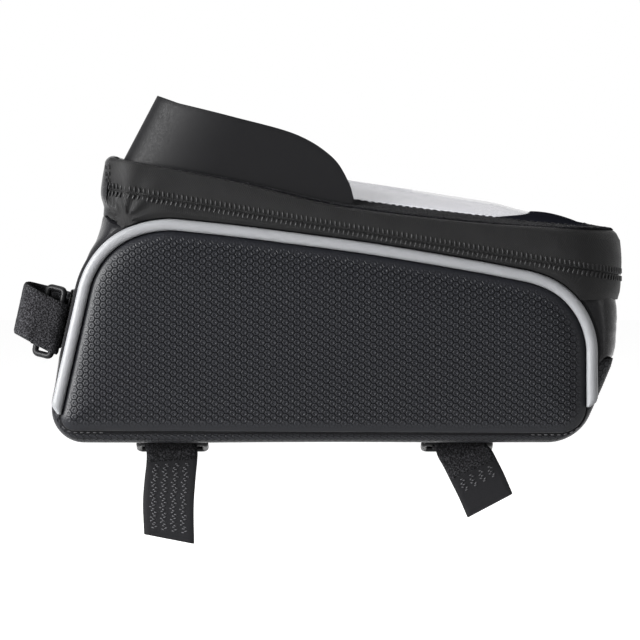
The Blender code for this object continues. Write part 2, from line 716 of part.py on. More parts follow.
def visor_rows():
    """The visor as a bent sheet: near side, leaning front and far side."""
    top_curve = smooth_curve(VISOR_TOP, 4)
    side_y = LID_HALF_WIDTH - VISOR_INSET
    lean = math.tan(VISOR_LEAN)
    radius = VISOR_BEND_RADIUS
    levels, turns = 5, 4
    rows = []
    for k in range(levels):
        share = k / (levels - 1)
        near = []
        base_front = VISOR_FRONT_X + radius
        for top in reversed(top_curve):
            place = (top.x - top_curve[0].x) / (VISOR_REAR_X - top_curve[0].x)
            x_base = base_front + (VISOR_REAR_X - base_front) * place
            z_base = lid_z(x_base, inset_at(x_base, side_y)) + VISOR_SEAT_GAP
            near.append(Vector((x_base, -side_y, z_base)).lerp(Vector((top.x, -side_y, top.y)), share))
        z_base = lid_z(VISOR_FRONT_X, inset_at(VISOR_FRONT_X, 0.0)) + VISOR_SEAT_GAP
        z_front = z_base + (VISOR_TIP_Z - z_base) * share
        x_front = VISOR_FRONT_X + (z_front - z_base) * lean
        z_side = near[-1].z
        for turn in range(1, turns + 1):
            angle = math.pi / 2 * turn / turns
            z = z_side + (z_front - z_side) * math.sin(angle)
            near.append(Vector((x_front + radius * (1 - math.sin(angle)),
                                -side_y + radius * (1 - math.cos(angle)), z)))
        far = [Vector((p.x, -p.y, p.z)) for p in reversed(near)]
        rows.append(near + far)
    return rows


def visor(mat):
    inside = Vector((-0.02, 0.0, 0.10))
    return sheet("visor", visor_rows(), VISOR_THICKNESS, lambda p: p - inside, mat)


def visor_hook(name, side, mat):
    """Hook strip under the visor's foot, on the loop strip."""
    outer = LID_HALF_WIDTH - VISOR_INSET - VISOR_THICKNESS - GAP
    inner = outer - VISOR_HOOK_WIDTH
    lift = VISOR_HOOK_THICKNESS + LAYER_GAP
    rows = []
    steps = 6
    for k in range(steps + 1):
        x = VISOR_HOOK_FRONT_X + (VISOR_HOOK_REAR_X - VISOR_HOOK_FRONT_X) * k / steps
        rows.append([Vector((x, side * y, lid_z(x, LID_HALF_WIDTH - y) + lift))
                     for y in (outer, (outer + inner) / 2, inner)])
    return sheet(name, rows, VISOR_HOOK_THICKNESS, upward, mat)


# Inside of the bag

def lining(mat):
    """Open-topped tub between the side panels."""
    floor = GUSSET_THICKNESS + BOARD_THICKNESS + 2 * GAP + LAYER_GAP
    top_front = zip_z(LINING_FRONT_TOP_X) - LINING_BELOW_ZIP
    top_rear = zip_z(LINING_REAR_X) - LINING_BELOW_ZIP
    corners = ((LINING_FRONT_FOOT_X, floor), (LINING_FRONT_TOP_X, top_front),
               (LINING_REAR_X, top_rear), (LINING_REAR_X, floor))
    arcs, runs = rounded_outline(corners, (LINING_RADIUS, 0.0, 0.0, LINING_RADIUS), (1, 1, 1, 1),
                                 (4, 1, 1, 4))
    profile = ([Vector(corners[2])] + [p for p, n in arcs[3]] + [p for p, n in arcs[0]]
               + [Vector(corners[1])])
    reach = PANEL_THICKNESS + LAYER_GAP
    bm = bmesh.new()
    sides = {}
    for side in (-1, 1):
        sides[side] = [bm.verts.new((p.x, side * (half_width(p.y) - reach), p.y)) for p in profile]
        bm.faces.new(sides[side])
    for k in range(len(profile) - 1):
        bm.faces.new([sides[-1][k], sides[-1][k + 1], sides[1][k + 1], sides[1][k]])
    bmesh.ops.recalc_face_normals(bm, faces=bm.faces)
    bm.normal_update()
    lowest = min(bm.faces, key=lambda face: face.calc_center_median().z)
    if lowest.normal.z > 0:
        bmesh.ops.reverse_faces(bm, faces=bm.faces)
    obj = finish("body_lining", bm, mat)
    solidify = obj.modifiers.new("thickness", "SOLIDIFY")
    solidify.thickness = LINING_THICKNESS
    solidify.offset = -1.0
    solidify.use_even_offset = True
    return obj


def base_board(mat):
    h = BOARD_HALF_WIDTH
    corners = ((BOARD_FRONT_X, -h), (BOARD_FRONT_X, h), (BOARD_REAR_X, h), (BOARD_REAR_X, -h))
    arcs, runs = rounded_outline(corners, (BOARD_RADIUS,) * 4, (1, 1, 1, 1), (4, 4, 4, 4))
    z = GUSSET_THICKNESS + GAP
    outline = [Vector((p.x, p.y, z)) for p, n in flatten(arcs, runs)]
    return prism("base_board", outline, Vector((0, 0, BOARD_THICKNESS)), mat)


# Zip sliders

def slider_and_pull(tag, x, heading, metal):
    """A slider on the far tapes, and its pull; heading is +1 where the pull points to the rear."""
    along = Vector((1.0, 0.0, ZIP_SLOPE)).normalized() * heading
    up = Vector((-ZIP_SLOPE, 0.0, 1.0)).normalized()
    out = Vector((0.0, 1.0, 0.0))
    centre = Vector((x, 0.0, zip_z(x)))

    def block(low, high):
        corners = [(low[0], low[1]), (high[0], low[1]), (high[0], high[1]), (low[0], high[1])]
        face = [centre + along * a + out * b + up * low[2] for a, b in corners]
        return prism("block", face, up * (high[2] - low[2]), metal)

    outer_face = LID_HALF_WIDTH + GAP
    inner_face = LID_HALF_WIDTH - BAND_THICKNESS - GAP - COIL_DEPTH - GAP
    length, height = SLIDER_LENGTH / 2, SLIDER_HEIGHT / 2
    post_height = ZIP_SLIT / 2 - GAP
    ear_inner = PULL_WIDTH / 2 + GAP
    pin_y = outer_face + SLIDER_PLATE + PIN_RADIUS + GAP + PULL_EYE_WALL + GAP
    ear_half = PIN_RADIUS * 2
    ear_reach = pin_y + PIN_RADIUS * 1.5
    sink = SLIDER_PLATE / 2
    outline = shield_outline(length, height)
    plates = []
    for face, step in ((outer_face, SLIDER_PLATE), (inner_face, -SLIDER_PLATE)):
        base = [centre + along * a + up * b + out * face for a, b in outline]
        plates.append(prism("plate", base, out * step, metal))
    post = block((-length + GAP, inner_face - sink, -post_height),
                 (-length + GAP + SLIDER_POST_LENGTH, outer_face + sink, post_height))
    ears = [block((-ear_half, outer_face + sink, low), (ear_half, ear_reach, low + EAR_THICKNESS))
            for low in (ear_inner, -ear_inner - EAR_THICKNESS)]
    pin_ring = [centre + along * (PIN_RADIUS * math.cos(a)) + out * (pin_y + PIN_RADIUS * math.sin(a))
                - up * (ear_inner + EAR_THICKNESS / 2) for a in (math.tau * k / 10 for k in range(10))]
    pin = prism("pin", pin_ring, up * (2 * ear_inner + EAR_THICKNESS), metal)
    slider = union("zip_slider_" + tag, plates + [post] + ears + [pin], metal)

    eye_in = PIN_RADIUS + GAP
    eye_out = eye_in + PULL_EYE_WALL
    start = -math.pi / 2 - PULL_EYE_MOUTH
    steps = 12
    angles = [start - (math.tau - 2 * PULL_EYE_MOUTH) * k / steps for k in range(steps + 1)]
    eye = [(eye_in * math.cos(a), eye_in * math.sin(a)) for a in angles]
    outer_arc = [(eye_out * math.cos(a), eye_out * math.sin(a)) for a in reversed(angles)]
    half = PULL_THICKNESS / 2
    lift = eye_out - half
    tail = []
    for a, b in outer_arc:
        if abs(math.atan2(b, a) - math.pi / 4) > PULL_NECK:
            tail.append((a, b))
        elif not tail or tail[-1][0] != PULL_LENGTH:
            tail += [(eye_out, lift - half), (PULL_LENGTH, lift - half), (PULL_LENGTH, lift + half)]
    pivot = centre + out * pin_y
    face = [pivot + along * a + out * b - up * PULL_WIDTH / 2 for a, b in eye + tail]
    pull = prism("zip_pull_" + tag, face, up * PULL_WIDTH, metal)
    set_origin(pull, pivot)
    return slider, pull


def shield_outline(length, height):
    """Plate of a slider: square nose at the front, rounded shoulders."""
    radius = height * 0.55
    corners = ((-length, -height), (-length, height), (length, height * 0.8), (length, -height * 0.8))
    arcs, runs = rounded_outline(corners, (radius,) * 4, (1, 1, 1, 1), (3, 3, 3, 3))
    return [(p.x, p.y) for p, n in flatten(arcs, runs)]


# Straps

def strap_frame():
    """Local frame on the front gusset: seat point, forward and along the strap's width."""
    spine = smooth_curve(FRONT_SPINE, 6)
    seat = next(a.lerp(b, (STRAP_SEAT_Z - a.y) / (b.y - a.y))
                for a, b in zip(spine, spine[1:]) if b.y >= STRAP_SEAT_Z)
    width = Vector((math.sin(STRAP_TILT), 0.0, math.cos(STRAP_TILT)))
    forward = Vector((-math.cos(STRAP_TILT), 0.0, math.sin(STRAP_TILT)))
    return Vector((seat.x, 0.0, seat.y)), forward, width


def strap_path(points, per_span=4):
    """Smooth route in the strap's own frame; each point is forward, sideways and shift in width."""
    seat, forward, width = strap_frame()
    route = smooth_curve([Vector(p) for p in points], per_span)
    return [seat + forward * p.x + Vector((0, p.y, 0)) + width * p.z for p in route]


def front_strap_set(fabric, patch, plastic):
    """Anchor patch on the front gusset, the strap's loop round the head tube, and its ring on a tab."""
    seat, forward, width = strap_frame()
    anchor = [seat + forward * ANCHOR_LIFT + Vector((0, y, 0)) + width * w
              for y, w in ((-ANCHOR_WIDTH / 2, -ANCHOR_HEIGHT / 2), (ANCHOR_WIDTH / 2, -ANCHOR_HEIGHT / 2),
                           (ANCHOR_WIDTH / 2, ANCHOR_HEIGHT / 2), (-ANCHOR_WIDTH / 2, ANCHOR_HEIGHT / 2))]
    pieces = [prism("front_strap_anchor", anchor, forward * ANCHOR_THICKNESS, patch)]
    seat_n = ANCHOR_LIFT + ANCHOR_THICKNESS + GAP + STRAP_THICKNESS / 2
    wrap = RING_WIRE + GAP + STRAP_THICKNESS / 2
    rear_bar = Vector(FRONT_BAR_REAR)
    direction = (Vector(FRONT_BAR_AIM) - rear_bar).normalized()
    front_bar = rear_bar + direction * (RING_WIDTH - 2 * RING_WIRE)

    turns = ((0.0, -wrap), (-wrap, 0.0), (0.0, wrap))
    round_bar = [(rear_bar.x + a, rear_bar.y + b, shift) for (a, b), shift in zip(turns, FRONT_WRAP_SHIFTS)]
    on_seat = [(seat_n + a, b, shift) for a, b, shift in FRONT_SEAT]
    path = strap_path([*on_seat, *FRONT_LOOP, *round_bar, *FRONT_TAIL])
    pieces.append(ribbon("front_strap", path, [width] * len(path), STRAP_THICKNESS, STRAP_WIDTH, fabric))

    tab = [(seat_n + a, b) for a, b in FRONT_TAB]
    tab_turns = ((-0.36, 1.05), (0.75, 0.75), (1.0, -0.1))
    tab += [(front_bar.x + wrap * a, front_bar.y + wrap * b) for a, b in tab_turns]
    path = strap_path([(a, b, FRONT_RING_SHIFT) for a, b in tab])
    pieces.append(ribbon("front_ring_tab", path, [width] * len(path), STRAP_THICKNESS,
                         STRAP_WIDTH, fabric))

    middle = (rear_bar + front_bar) / 2
    centre = seat + forward * middle.x + Vector((0, middle.y, 0)) + width * FRONT_RING_SHIFT
    short = (forward * direction.x + Vector((0, direction.y, 0))).normalized()
    pieces.append(wire_ring("front_ring", centre, width, short, plastic))
    return pieces


def bottom_strap(tag, x, hanging, patch_start, fabric, hook_mat, plastic):
    """Strap sewn across the bottom: a ring in the far fold, a long end hanging on the near side."""
    top = -(GAP + STRAP_THICKNESS / 2)
    bar_drop = RING_WIRE + GAP + STRAP_THICKNESS / 2
    bar = Vector((x, STRAP_SEAT_FAR_Y, top - bar_drop))
    fold = []
    for k in range(7):
        angle = math.pi / 2 - STRAP_FOLD * k / 6
        fold.append(Vector((x, bar.y + bar_drop * math.cos(angle), bar.z + bar_drop * math.sin(angle))))
    flat = [Vector((x, STRAP_SEAT_FAR_Y + (STRAP_SEAT_NEAR_Y - STRAP_SEAT_FAR_Y) * k / 3, top))
            for k in range(1, 4)]
    hang = []
    for dx, y, z, tilt in hanging:
        angle = math.radians(tilt)
        hang.append((Vector((x + dx, y, z)), Vector((math.cos(angle), 0.0, math.sin(angle)))))
    path = list(reversed(fold)) + flat + [p for p, w in hang]
    widths = [Vector((1, 0, 0))] * (len(fold) + len(flat)) + [w for p, w in hang]
    strap = ribbon("bottom_strap_" + tag, path, widths, STRAP_THICKNESS, STRAP_WIDTH, fabric)

    offset = STRAP_THICKNESS / 2 + GAP + HOOK_THICKNESS / 2
    patch_path, patch_widths = [], []
    for i in range(patch_start, len(hang)):
        point, across = hang[i]
        ahead = hang[min(i + 1, len(hang) - 1)][0] - hang[i - 1][0]
        out = ahead.cross(across).normalized()
        if out.y > 0:
            out.negate()
        patch_path.append(point + out * offset)
        patch_widths.append(across)
    patch = ribbon("bottom_hook_patch_" + tag, patch_path, patch_widths, HOOK_THICKNESS,
                   STRAP_WIDTH - 2 * GAP, hook_mat)

    droop = Vector((0, math.cos(RING_DROOP), -math.sin(RING_DROOP)))
    centre = bar + droop * (RING_WIDTH / 2 - RING_WIRE)
    ring = wire_ring("bottom_ring_" + tag, centre, Vector((1, 0, 0)), droop, plastic)
    set_origin(ring, bar)
    return strap, patch, ring


def build():
    clear_scene()
    shell = material("moulded_shell", (0.032, 0.033, 0.040), 0.55)
    leather = material("smooth_coated_fabric", (0.013, 0.013, 0.015), 0.42)
    band = material("textured_coated_fabric", (0.028, 0.028, 0.030), 0.55)
    reflective = material("reflective_piping", (0.52, 0.53, 0.55), 0.45)
    coil = material("zip_coil", (0.020, 0.020, 0.022), 0.50)
    knit = material("loop_fabric", (0.012, 0.012, 0.013), 0.95)
    clear = material("clear_film", (0.85, 0.87, 0.88), 0.12, alpha=0.35)
    sheet_black = material("visor_sheet", (0.017, 0.017, 0.018), 0.45)
    webbing = material("strap_webbing", (0.014, 0.014, 0.016), 0.90)
    hooks = material("hook_tape", (0.016, 0.016, 0.018), 0.75)
    plastic = material("ring_plastic", (0.015, 0.015, 0.017), 0.35)
    board = material("stiffener_board", (0.05, 0.05, 0.05), 0.70)
    felt = material("lining_fabric", (0.04, 0.04, 0.045), 0.95)
    metal = material("slider_metal", (0.05, 0.05, 0.055), 0.35, metallic=1.0)

    for tag, side in (("near", -1), ("far", 1)):
        side_panel("side_panel_" + tag, side, shell)
        piping("piping_" + tag, side, reflective)
        visor_hook("visor_hook_" + tag, side, hooks)
    front_gusset(leather)
    rear_gusset(leather)
    bottom_panel(shell)
    bands_and_zip(band, leather, coil)
    lid_top(band, knit, clear)
    pocket_back(felt)
    visor(sheet_black)
    lining(felt)
    base_board(board)
    slider_and_pull("front", SLIDER_FRONT_X, -1, metal)
    slider_and_pull("rear", SLIDER_REAR_X, 1, metal)
    front_strap_set(webbing, leather, plastic)
    bottom_strap("front", STRAP_FRONT_X, STRAIGHT_HANG, STRAIGHT_PATCH_START, webbing, hooks, plastic)
    bottom_strap("rear", STRAP_REAR_X, LEANING_HANG, LEANING_PATCH_START, webbing, hooks, plastic)


build()
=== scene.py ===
"""Looks of the bike phone bag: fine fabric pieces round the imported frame, with camera, floor and light."""
import math

import bmesh
import bpy
import numpy as np
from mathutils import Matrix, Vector, noise

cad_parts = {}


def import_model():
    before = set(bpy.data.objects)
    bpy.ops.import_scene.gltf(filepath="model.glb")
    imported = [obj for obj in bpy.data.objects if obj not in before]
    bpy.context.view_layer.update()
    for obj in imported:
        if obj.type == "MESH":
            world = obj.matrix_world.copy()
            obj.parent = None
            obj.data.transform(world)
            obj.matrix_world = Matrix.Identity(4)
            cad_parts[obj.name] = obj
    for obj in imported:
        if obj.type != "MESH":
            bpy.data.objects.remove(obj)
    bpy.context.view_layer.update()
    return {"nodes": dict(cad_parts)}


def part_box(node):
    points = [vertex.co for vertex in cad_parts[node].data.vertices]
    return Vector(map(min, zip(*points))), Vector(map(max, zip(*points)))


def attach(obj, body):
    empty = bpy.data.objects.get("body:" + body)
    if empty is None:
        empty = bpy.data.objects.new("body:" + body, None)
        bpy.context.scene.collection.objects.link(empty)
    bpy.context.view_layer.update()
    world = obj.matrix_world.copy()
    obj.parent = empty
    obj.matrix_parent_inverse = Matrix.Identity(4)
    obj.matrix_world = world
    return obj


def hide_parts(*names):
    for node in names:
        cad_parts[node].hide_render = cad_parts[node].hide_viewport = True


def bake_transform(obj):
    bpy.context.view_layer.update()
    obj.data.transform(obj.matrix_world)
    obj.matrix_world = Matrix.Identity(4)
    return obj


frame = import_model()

# Places read from the frame
LID_FRONT_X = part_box("hinge_panel")[0].x
LID_REAR_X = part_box("lid_skirt")[1].x
LID_HALF_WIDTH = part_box("lid_skirt")[1].y

# The bag's forms, in metres: the solids' own sizes, and some that follow the photograph more closely
GAP = 0.0003
LAYER_GAP = 0.0004
SEAM_GAP = 0.0009
PANEL_CORNERS = ((-0.1074, 0.0050), (-0.0887, 0.0857), (0.0958, 0.0591), (0.0962, 0.0040))
PANEL_RADII = (0.005, 0.030, 0.028, 0.010)
PANEL_ARCH = ((-0.1000, 0.0), (-0.0860, 0.0), (-0.0720, -0.0004), (-0.0600, 0.0001), (-0.0400, 0.0009),
              (-0.0180, 0.0013), (0.0090, 0.0016), (0.0300, 0.0013), (0.0550, 0.0006), (0.0670, 0.0),
              (0.0770, -0.0004), (0.0870, 0.0), (0.1000, 0.0))   # the upper edge's rise over a straight one
ARCH_Z = (0.045, 0.060)         # heights between which the rise sets in
PANEL_THICKNESS = 0.0018
PANEL_BULGE = 0.0050
PANEL_BULGE_RUN = 0.0060
BASE_HALF_WIDTH = 0.0430
SHOULDER_HALF_WIDTH = 0.0472
SHOULDER_Z = 0.0900
PIPING_WIDTH = 0.0044
PIPING_TIP_WIDTH = 0.0014
PIPING_TAPER = 0.0030
PIPING_CROWN = 0.0016
PIPING_ROOT = 0.0012
GUSSET_THICKNESS = 0.0016
FRONT_SPINE = ((-0.1102, 0.0148), (-0.1071, 0.0355), (-0.1013, 0.0591), (-0.0893, 0.0886))
FRONT_FLAT = 0.55
BOTTOM_FRONT_CORNER = (-0.1104, 0.0)
BOTTOM_FRONT_RADIUS = 0.0125
BOTTOM_REAR_CORNER = (0.0932, 0.0)
BOTTOM_REAR_RADIUS = 0.018
BOTTOM_LAP = (0.1083, 0.0336)
BOTTOM_FLAT = 0.88
REAR_SPINE = ((0.1080, 0.0333), (0.1090, 0.0415), (0.1092, 0.0500), (0.1088, 0.0550))
REAR_FLAT = 0.60
LID_FRONT_RADIUS = 0.014
LID_REAR_RADIUS = 0.026
BAND_THICKNESS = 0.0015
SKIRT_BULGE = 0.0006
WALL_BULGE = 0.0007
WALL_ROLL = 0.0003
HINGE_BULGE = 0.0012
HINGE_ROLL = 0.0036
HINGE_LAP = 0.0014
REAR_BLEND = (0.085, 0.105)     # where the band turns from the sides' form to the rider's end's
ZIP_FRONT_Z = 0.0985
ZIP_SLOPE = -0.1683
RIM = ((-0.0900, 0.1108), (-0.0400, 0.1012), (-0.0017, 0.0921), (0.0348, 0.0871),
       (0.0700, 0.0840), (0.1102, 0.0828))
RIDGE = ((-0.0900, 0.1112), (-0.0600, 0.1100), (-0.0250, 0.1064), (0.0050, 0.1019), (0.0330, 0.0977),
         (0.0610, 0.0933), (0.0720, 0.0914), (0.0830, 0.0905), (0.0950, 0.0891), (0.1102, 0.0870))
CROWN_POWER = 1.3
HINGE_Z = 0.0893
HINGE_WRAP = math.radians(33)
FRAME_INNER_INSET = 0.0170
FRAME_THICKNESS = 0.0015
LOOP_THICKNESS = 0.0010
LOOP_OUTER_INSET = 0.0022
LOOP_INNER_INSET = 0.0130
FILM_THICKNESS = 0.0008
WINDOW_REAR_X = 0.0775
FILM_FOLD_X = 0.0302
CAP_SIDE_X = 0.0620
CAP_MIDDLE_X = 0.0765
CAP_LAP = 0.0006
CAP_SWELL = 0.0010
CAP_THICKNESS = 0.0009
VISOR_THICKNESS = 0.0010
VISOR_SEAT_GAP = 0.0007
VISOR_INSET = 0.0040
VISOR_FRONT_X = -0.0822
VISOR_REAR_X = 0.0066
VISOR_TOP = ((-0.0610, 0.1313), (-0.0400, 0.1260), (-0.0157, 0.1192), (-0.0017, 0.1105),
             (0.0046, 0.1010), (0.0066, 0.0945))
VISOR_TIP_Z = 0.1344
VISOR_LEAN = math.radians(28)
VISOR_BEND_RADIUS = 0.013
VISOR_BEND_RUN = 0.034
VISOR_HOOK_WIDTH = 0.0060
VISOR_HOOK_THICKNESS = 0.0010
VISOR_HOOK_FRONT_X = -0.0600
VISOR_HOOK_REAR_X = -0.0020
STRAP_WIDTH = 0.0200
STRAP_THICKNESS = 0.0012
HOOK_THICKNESS = 0.0009
RING_LENGTH = 0.0290
RING_WIDTH = 0.0102
RING_WIRE = 0.0013
STRAP_TILT = math.radians(12.5)
STRAP_SEAT_Z = 0.0470
ANCHOR_WIDTH = 0.0290
ANCHOR_HEIGHT = 0.0240
ANCHOR_THICKNESS = 0.0012
STRAP_FRONT_X = -0.0655
STRAP_REAR_X = 0.0485
STRAP_SEAT_NEAR_Y = -0.0140
STRAP_SEAT_FAR_Y = 0.0175
RING_DROOP = math.radians(20)
HEAD_RING_REAR = (0.0040, -0.0188)      # the ring's bars, forward of the seat and across
HEAD_RING_FRONT = (0.0104, -0.0148)
HEAD_RING_DROP = -0.0022

# Fine detail
FINE = 4                        # times as many stations as the plain solids
PANEL_ORIGIN = (-0.1100, 0.0)   # middle of the first tile
HEX_PITCH = 0.00261
HEX_STEPS = 6                   # mesh steps from tile to tile
HEX_GROOVE = 0.00024
HEX_DIMPLE = 0.00030
HEX_FADE = (0.0008, 0.0050)     # from the panel's rim
HEX_GROOVE_SPAN = (0.39, 0.485)         # in shares of the pitch from a tile's middle, in the material
HEX_DIMPLE_SPAN = (0.13, 0.25)
MESH_GROOVE_SPAN = (0.72, 0.98)         # in shares of half the pitch, in the mesh
MESH_DIMPLE_SPAN = (0.12, 0.58)
COIL_PITCH = 0.00184
COIL_BAR = (0.00085, 0.0021, 0.00042)   # along the zip, across it, proud of the band
COIL_OFFSET = 0.0015            # from the centre line to the middle of each row
COIL_LIFT = 0.0003
TEETH_OFFSET_SHARE = 0.72
TEETH_HEIGHT_SHARE = 0.6
BAND_STEP = 0.0010
ZIP_LINE = -0.00002             # the tapes meet
FOLD_DENSITY = 28.0
KNIT_FUZZ = 0.00030
HINGE_STITCH_SHIFT = 0.0013
HOOK_PITCH = 0.00072
HOOK_BAR = (0.00055, 0.00022, 0.00050)  # half sizes across and along the tape, and the height
HOOK_COLUMNS = (-0.0059, -0.0020, 0.0020, 0.0059)
HOOK_WAVE = 0.0050
HOOK_SWAY = 0.0005
HOOK_STAGGER = 0.00045


# Curves and outlines

def left_of(direction):
    return Vector((-direction.y, direction.x))


def turned(v, angle):
    c, s = math.cos(angle), math.sin(angle)
    return Vector((c * v.x - s * v.y, s * v.x + c * v.y))


def smoothstep(low, high, value):
    t = np.clip((value - low) / (high - low), 0.0, 1.0)
    return t * t * (3 - 2 * t)


def rounded_outline(corners, radii, run_counts, arc_counts):
    """Closed clockwise outline as arcs[i] and runs[i] of (point, outward normal)."""
    count = len(corners)
    arcs, runs, starts = [], [], []
    for i in range(count):
        corner = Vector(corners[i])
        incoming = (corner - Vector(corners[i - 1])).normalized()
        outgoing = (Vector(corners[(i + 1) % count]) - corner).normalized()
        turn = math.acos(max(-1.0, min(1.0, incoming.dot(outgoing))))
        reach = radii[i] * math.tan(turn / 2)
        start = corner - incoming * reach
        centre = start - left_of(incoming) * radii[i]
        normals = [turned(left_of(incoming), -turn * k / arc_counts[i]) for k in range(arc_counts[i] + 1)]
        arcs.append([(centre + normal * radii[i], normal) for normal in normals])
        starts.append((start, corner + outgoing * reach, outgoing))
    for i in range(count):
        stop, outgoing = starts[i][1:]
        target = starts[(i + 1) % count][0]
        runs.append([(stop.lerp(target, k / run_counts[i]), left_of(outgoing))
                     for k in range(1, run_counts[i])])
    return arcs, runs


def flatten(arcs, runs):
    stations = []
    for arc, run in zip(arcs, runs):
        stations += arc + run
    return stations


def smooth_curve(points, per_span):
    """Catmull-Rom curve through the points."""
    pts = [Vector(p) for p in points]
    pts = [pts[0] * 2 - pts[1]] + pts + [pts[-1] * 2 - pts[-2]]
    curve = []
    for i in range(1, len(pts) - 2):
        a, b, c, d = pts[i - 1], pts[i], pts[i + 1], pts[i + 2]
        for k in range(per_span):
            t = k / per_span
            curve.append(0.5 * (2 * b + (c - a) * t + (2 * a - 5 * b + 4 * c - d) * t ** 2
                                + (3 * b - a - 3 * c + d) * t ** 3))
    curve.append(pts[-2])
    return curve


def lengths_along(points):
    total = [0.0]
    for a, b in zip(points, points[1:]):
        total.append(total[-1] + (b - a).length)
    return total


def places_at(points, distances):
    """For each of the rising distances along the points, the span's index and the share of it."""
    along = lengths_along(points)
    i = 0
    for distance in distances:
        while i < len(points) - 2 and along[i + 1] < distance:
            i += 1
        span = along[i + 1] - along[i]
        yield i, (distance - along[i]) / span if span else 0.0


def resample(points, count, start_cut=0.0, end_cut=0.0):
    first, last = start_cut, lengths_along(points)[-1] - end_cut
    distances = [first + (last - first) * k / (count - 1) for k in range(count)]
    return [points[i].lerp(points[i + 1], share) for i, share in places_at(points, distances)]


def shortened(points, cut):
    inner = resample(points, 400, cut, cut)
    return [inner[0]] + list(points[1:-1]) + [inner[-1]]


def height_on(curve, x):
    if x <= curve[0].x:
        return curve[0].y
    for a, b in zip(curve, curve[1:]):
        if x <= b.x:
            return a.y + (b.y - a.y) * (x - a.x) / (b.x - a.x)
    return curve[-1].y


def station_at(stations, i, share):
    (p0, n0), (p1, n1) = stations[i], stations[i + 1]
    return p0.lerp(p1, share), n0.lerp(n1, share).normalized()


def partial_arc(arc, first, last):
    """The stations between two places in the arc, counted in steps, with those places as ends."""
    steps = [first] + [k for k in range(len(arc)) if first + 0.05 < k < last - 0.05] + [last]
    result = []
    for step in steps:
        i = min(int(step), len(arc) - 2)
        result.append(station_at(arc, i, step - i))
    return result


def resample_arc(arc, count):
    result = []
    for k in range(count):
        step = k / (count - 1) * (len(arc) - 1)
        i = min(int(step), len(arc) - 2)
        result.append(station_at(arc, i, step - i))
    return result


def spaced(stations, step):
    """Stations in plan at an even step, with their normals."""
    points = [p for p, n in stations]
    total = lengths_along(points)[-1]
    count = max(2, round(total / step))
    distances = [total * k / count for k in range(count + 1)]
    return [station_at(stations, i, share) for i, share in places_at(points, distances)]


# Shared forms

def half_width(z):
    return BASE_HALF_WIDTH + (SHOULDER_HALF_WIDTH - BASE_HALF_WIDTH) * z / SHOULDER_Z


def zip_z(x):
    return ZIP_FRONT_Z + ZIP_SLOPE * (x - LID_FRONT_X)


RIM_CURVE = smooth_curve(RIM, 12)
RIDGE_CURVE = smooth_curve(RIDGE, 12)
PLAN_CENTRE_X = (LID_FRONT_X + LID_REAR_X) / 2
PLAN_HALF_LENGTH = (LID_REAR_X - LID_FRONT_X) / 2


def lid_z(x, inset):
    share = 1.0 - (1.0 - min(1.0, inset / LID_HALF_WIDTH)) ** CROWN_POWER
    rim = height_on(RIM_CURVE, x)
    return rim + (height_on(RIDGE_CURVE, x) - rim) * share


def inset_at(x, y):
    """Distance in from the rim, eased where the sides' and the ends' slopes meet."""
    share = 1.0
    for inset in (LID_HALF_WIDTH - abs(y), PLAN_HALF_LENGTH - abs(x - PLAN_CENTRE_X)):
        share *= 1.0 - (1.0 - min(1.0, max(0.0, inset) / LID_HALF_WIDTH)) ** CROWN_POWER
    return LID_HALF_WIDTH * (1.0 - (1.0 - share) ** (1 / CROWN_POWER))


def plan_outline():
    h = LID_HALF_WIDTH
    corners = ((LID_FRONT_X, -h), (LID_FRONT_X, h), (LID_REAR_X, h), (LID_REAR_X, -h))
    radii = (LID_FRONT_RADIUS, LID_FRONT_RADIUS, LID_REAR_RADIUS, LID_REAR_RADIUS)
    return rounded_outline(corners, radii, (12, 48, 12, 48), (20, 20, 30, 30))


def plan_path():
    """The band's stations, and the hinge panel's, as on the solids."""
    arcs, runs = plan_outline()
    near_front, far_front = arcs[0], arcs[1]
    wrap = HINGE_WRAP / (math.pi / 2) * (len(near_front) - 1)
    last = len(near_front) - 1
    band = (partial_arc(far_front, wrap, last) + runs[1] + arcs[2] + runs[2] + arcs[3] + runs[3]
            + partial_arc(near_front, 0.0, last - wrap))
    hinge = partial_arc(near_front, last - wrap, last) + runs[0] + partial_arc(far_front, 0.0, wrap)
    return band, hinge


ARCH_CURVE = smooth_curve(PANEL_ARCH, 8)


def arched(stations):
    """Lift the upper edge a little in its middle, as the stretched cloth does."""
    return [(Vector((p.x, p.y + height_on(ARCH_CURVE, p.x) * float(smoothstep(*ARCH_Z, p.y)))), n)
            for p, n in stations]


def panel_outline():
    run_counts = (5 * FINE, 8 * FINE, 3 * FINE, 8 * FINE)
    arc_counts = (3 * FINE, 7 * FINE, 7 * FINE, 4 * FINE)
    arcs, runs = rounded_outline(PANEL_CORNERS, PANEL_RADII, run_counts, arc_counts)
    return [arched(arc) for arc in arcs], [arched(run) for run in runs]


PANEL_ARCS, PANEL_RUNS = panel_outline()
PIPING_STATIONS = (PANEL_ARCS[0][-1:] + PANEL_RUNS[0] + PANEL_ARCS[1] + PANEL_RUNS[1]
                   + PANEL_ARCS[2] + PANEL_RUNS[2] + PANEL_ARCS[3][:1])


def piping_widths():
    along = lengths_along([p for p, n in PIPING_STATIONS])
    widths = []
    for distance in along:
        share = min(1.0, min(distance, along[-1] - distance) / PIPING_TAPER)
        widths.append(PIPING_TIP_WIDTH + (PIPING_WIDTH - PIPING_TIP_WIDTH) * math.sin(share * math.pi / 2))
    return widths


PIPING_WIDTHS = piping_widths()
PIPING_EDGE = [p + n * (w + 2 * GAP) for (p, n), w in zip(PIPING_STATIONS, PIPING_WIDTHS)]
FRONT_SPLIT = 9 * FINE


def split_descending(points, z):
    for i in range(len(points) - 1):
        a, b = points[i], points[i + 1]
        if a.y >= z > b.y:
            cut = a.lerp(b, (a.y - z) / (a.y - b.y))
            return points[:i + 1] + [cut], [cut] + points[i + 1:]
    raise ValueError("the outline doesn't reach that height")


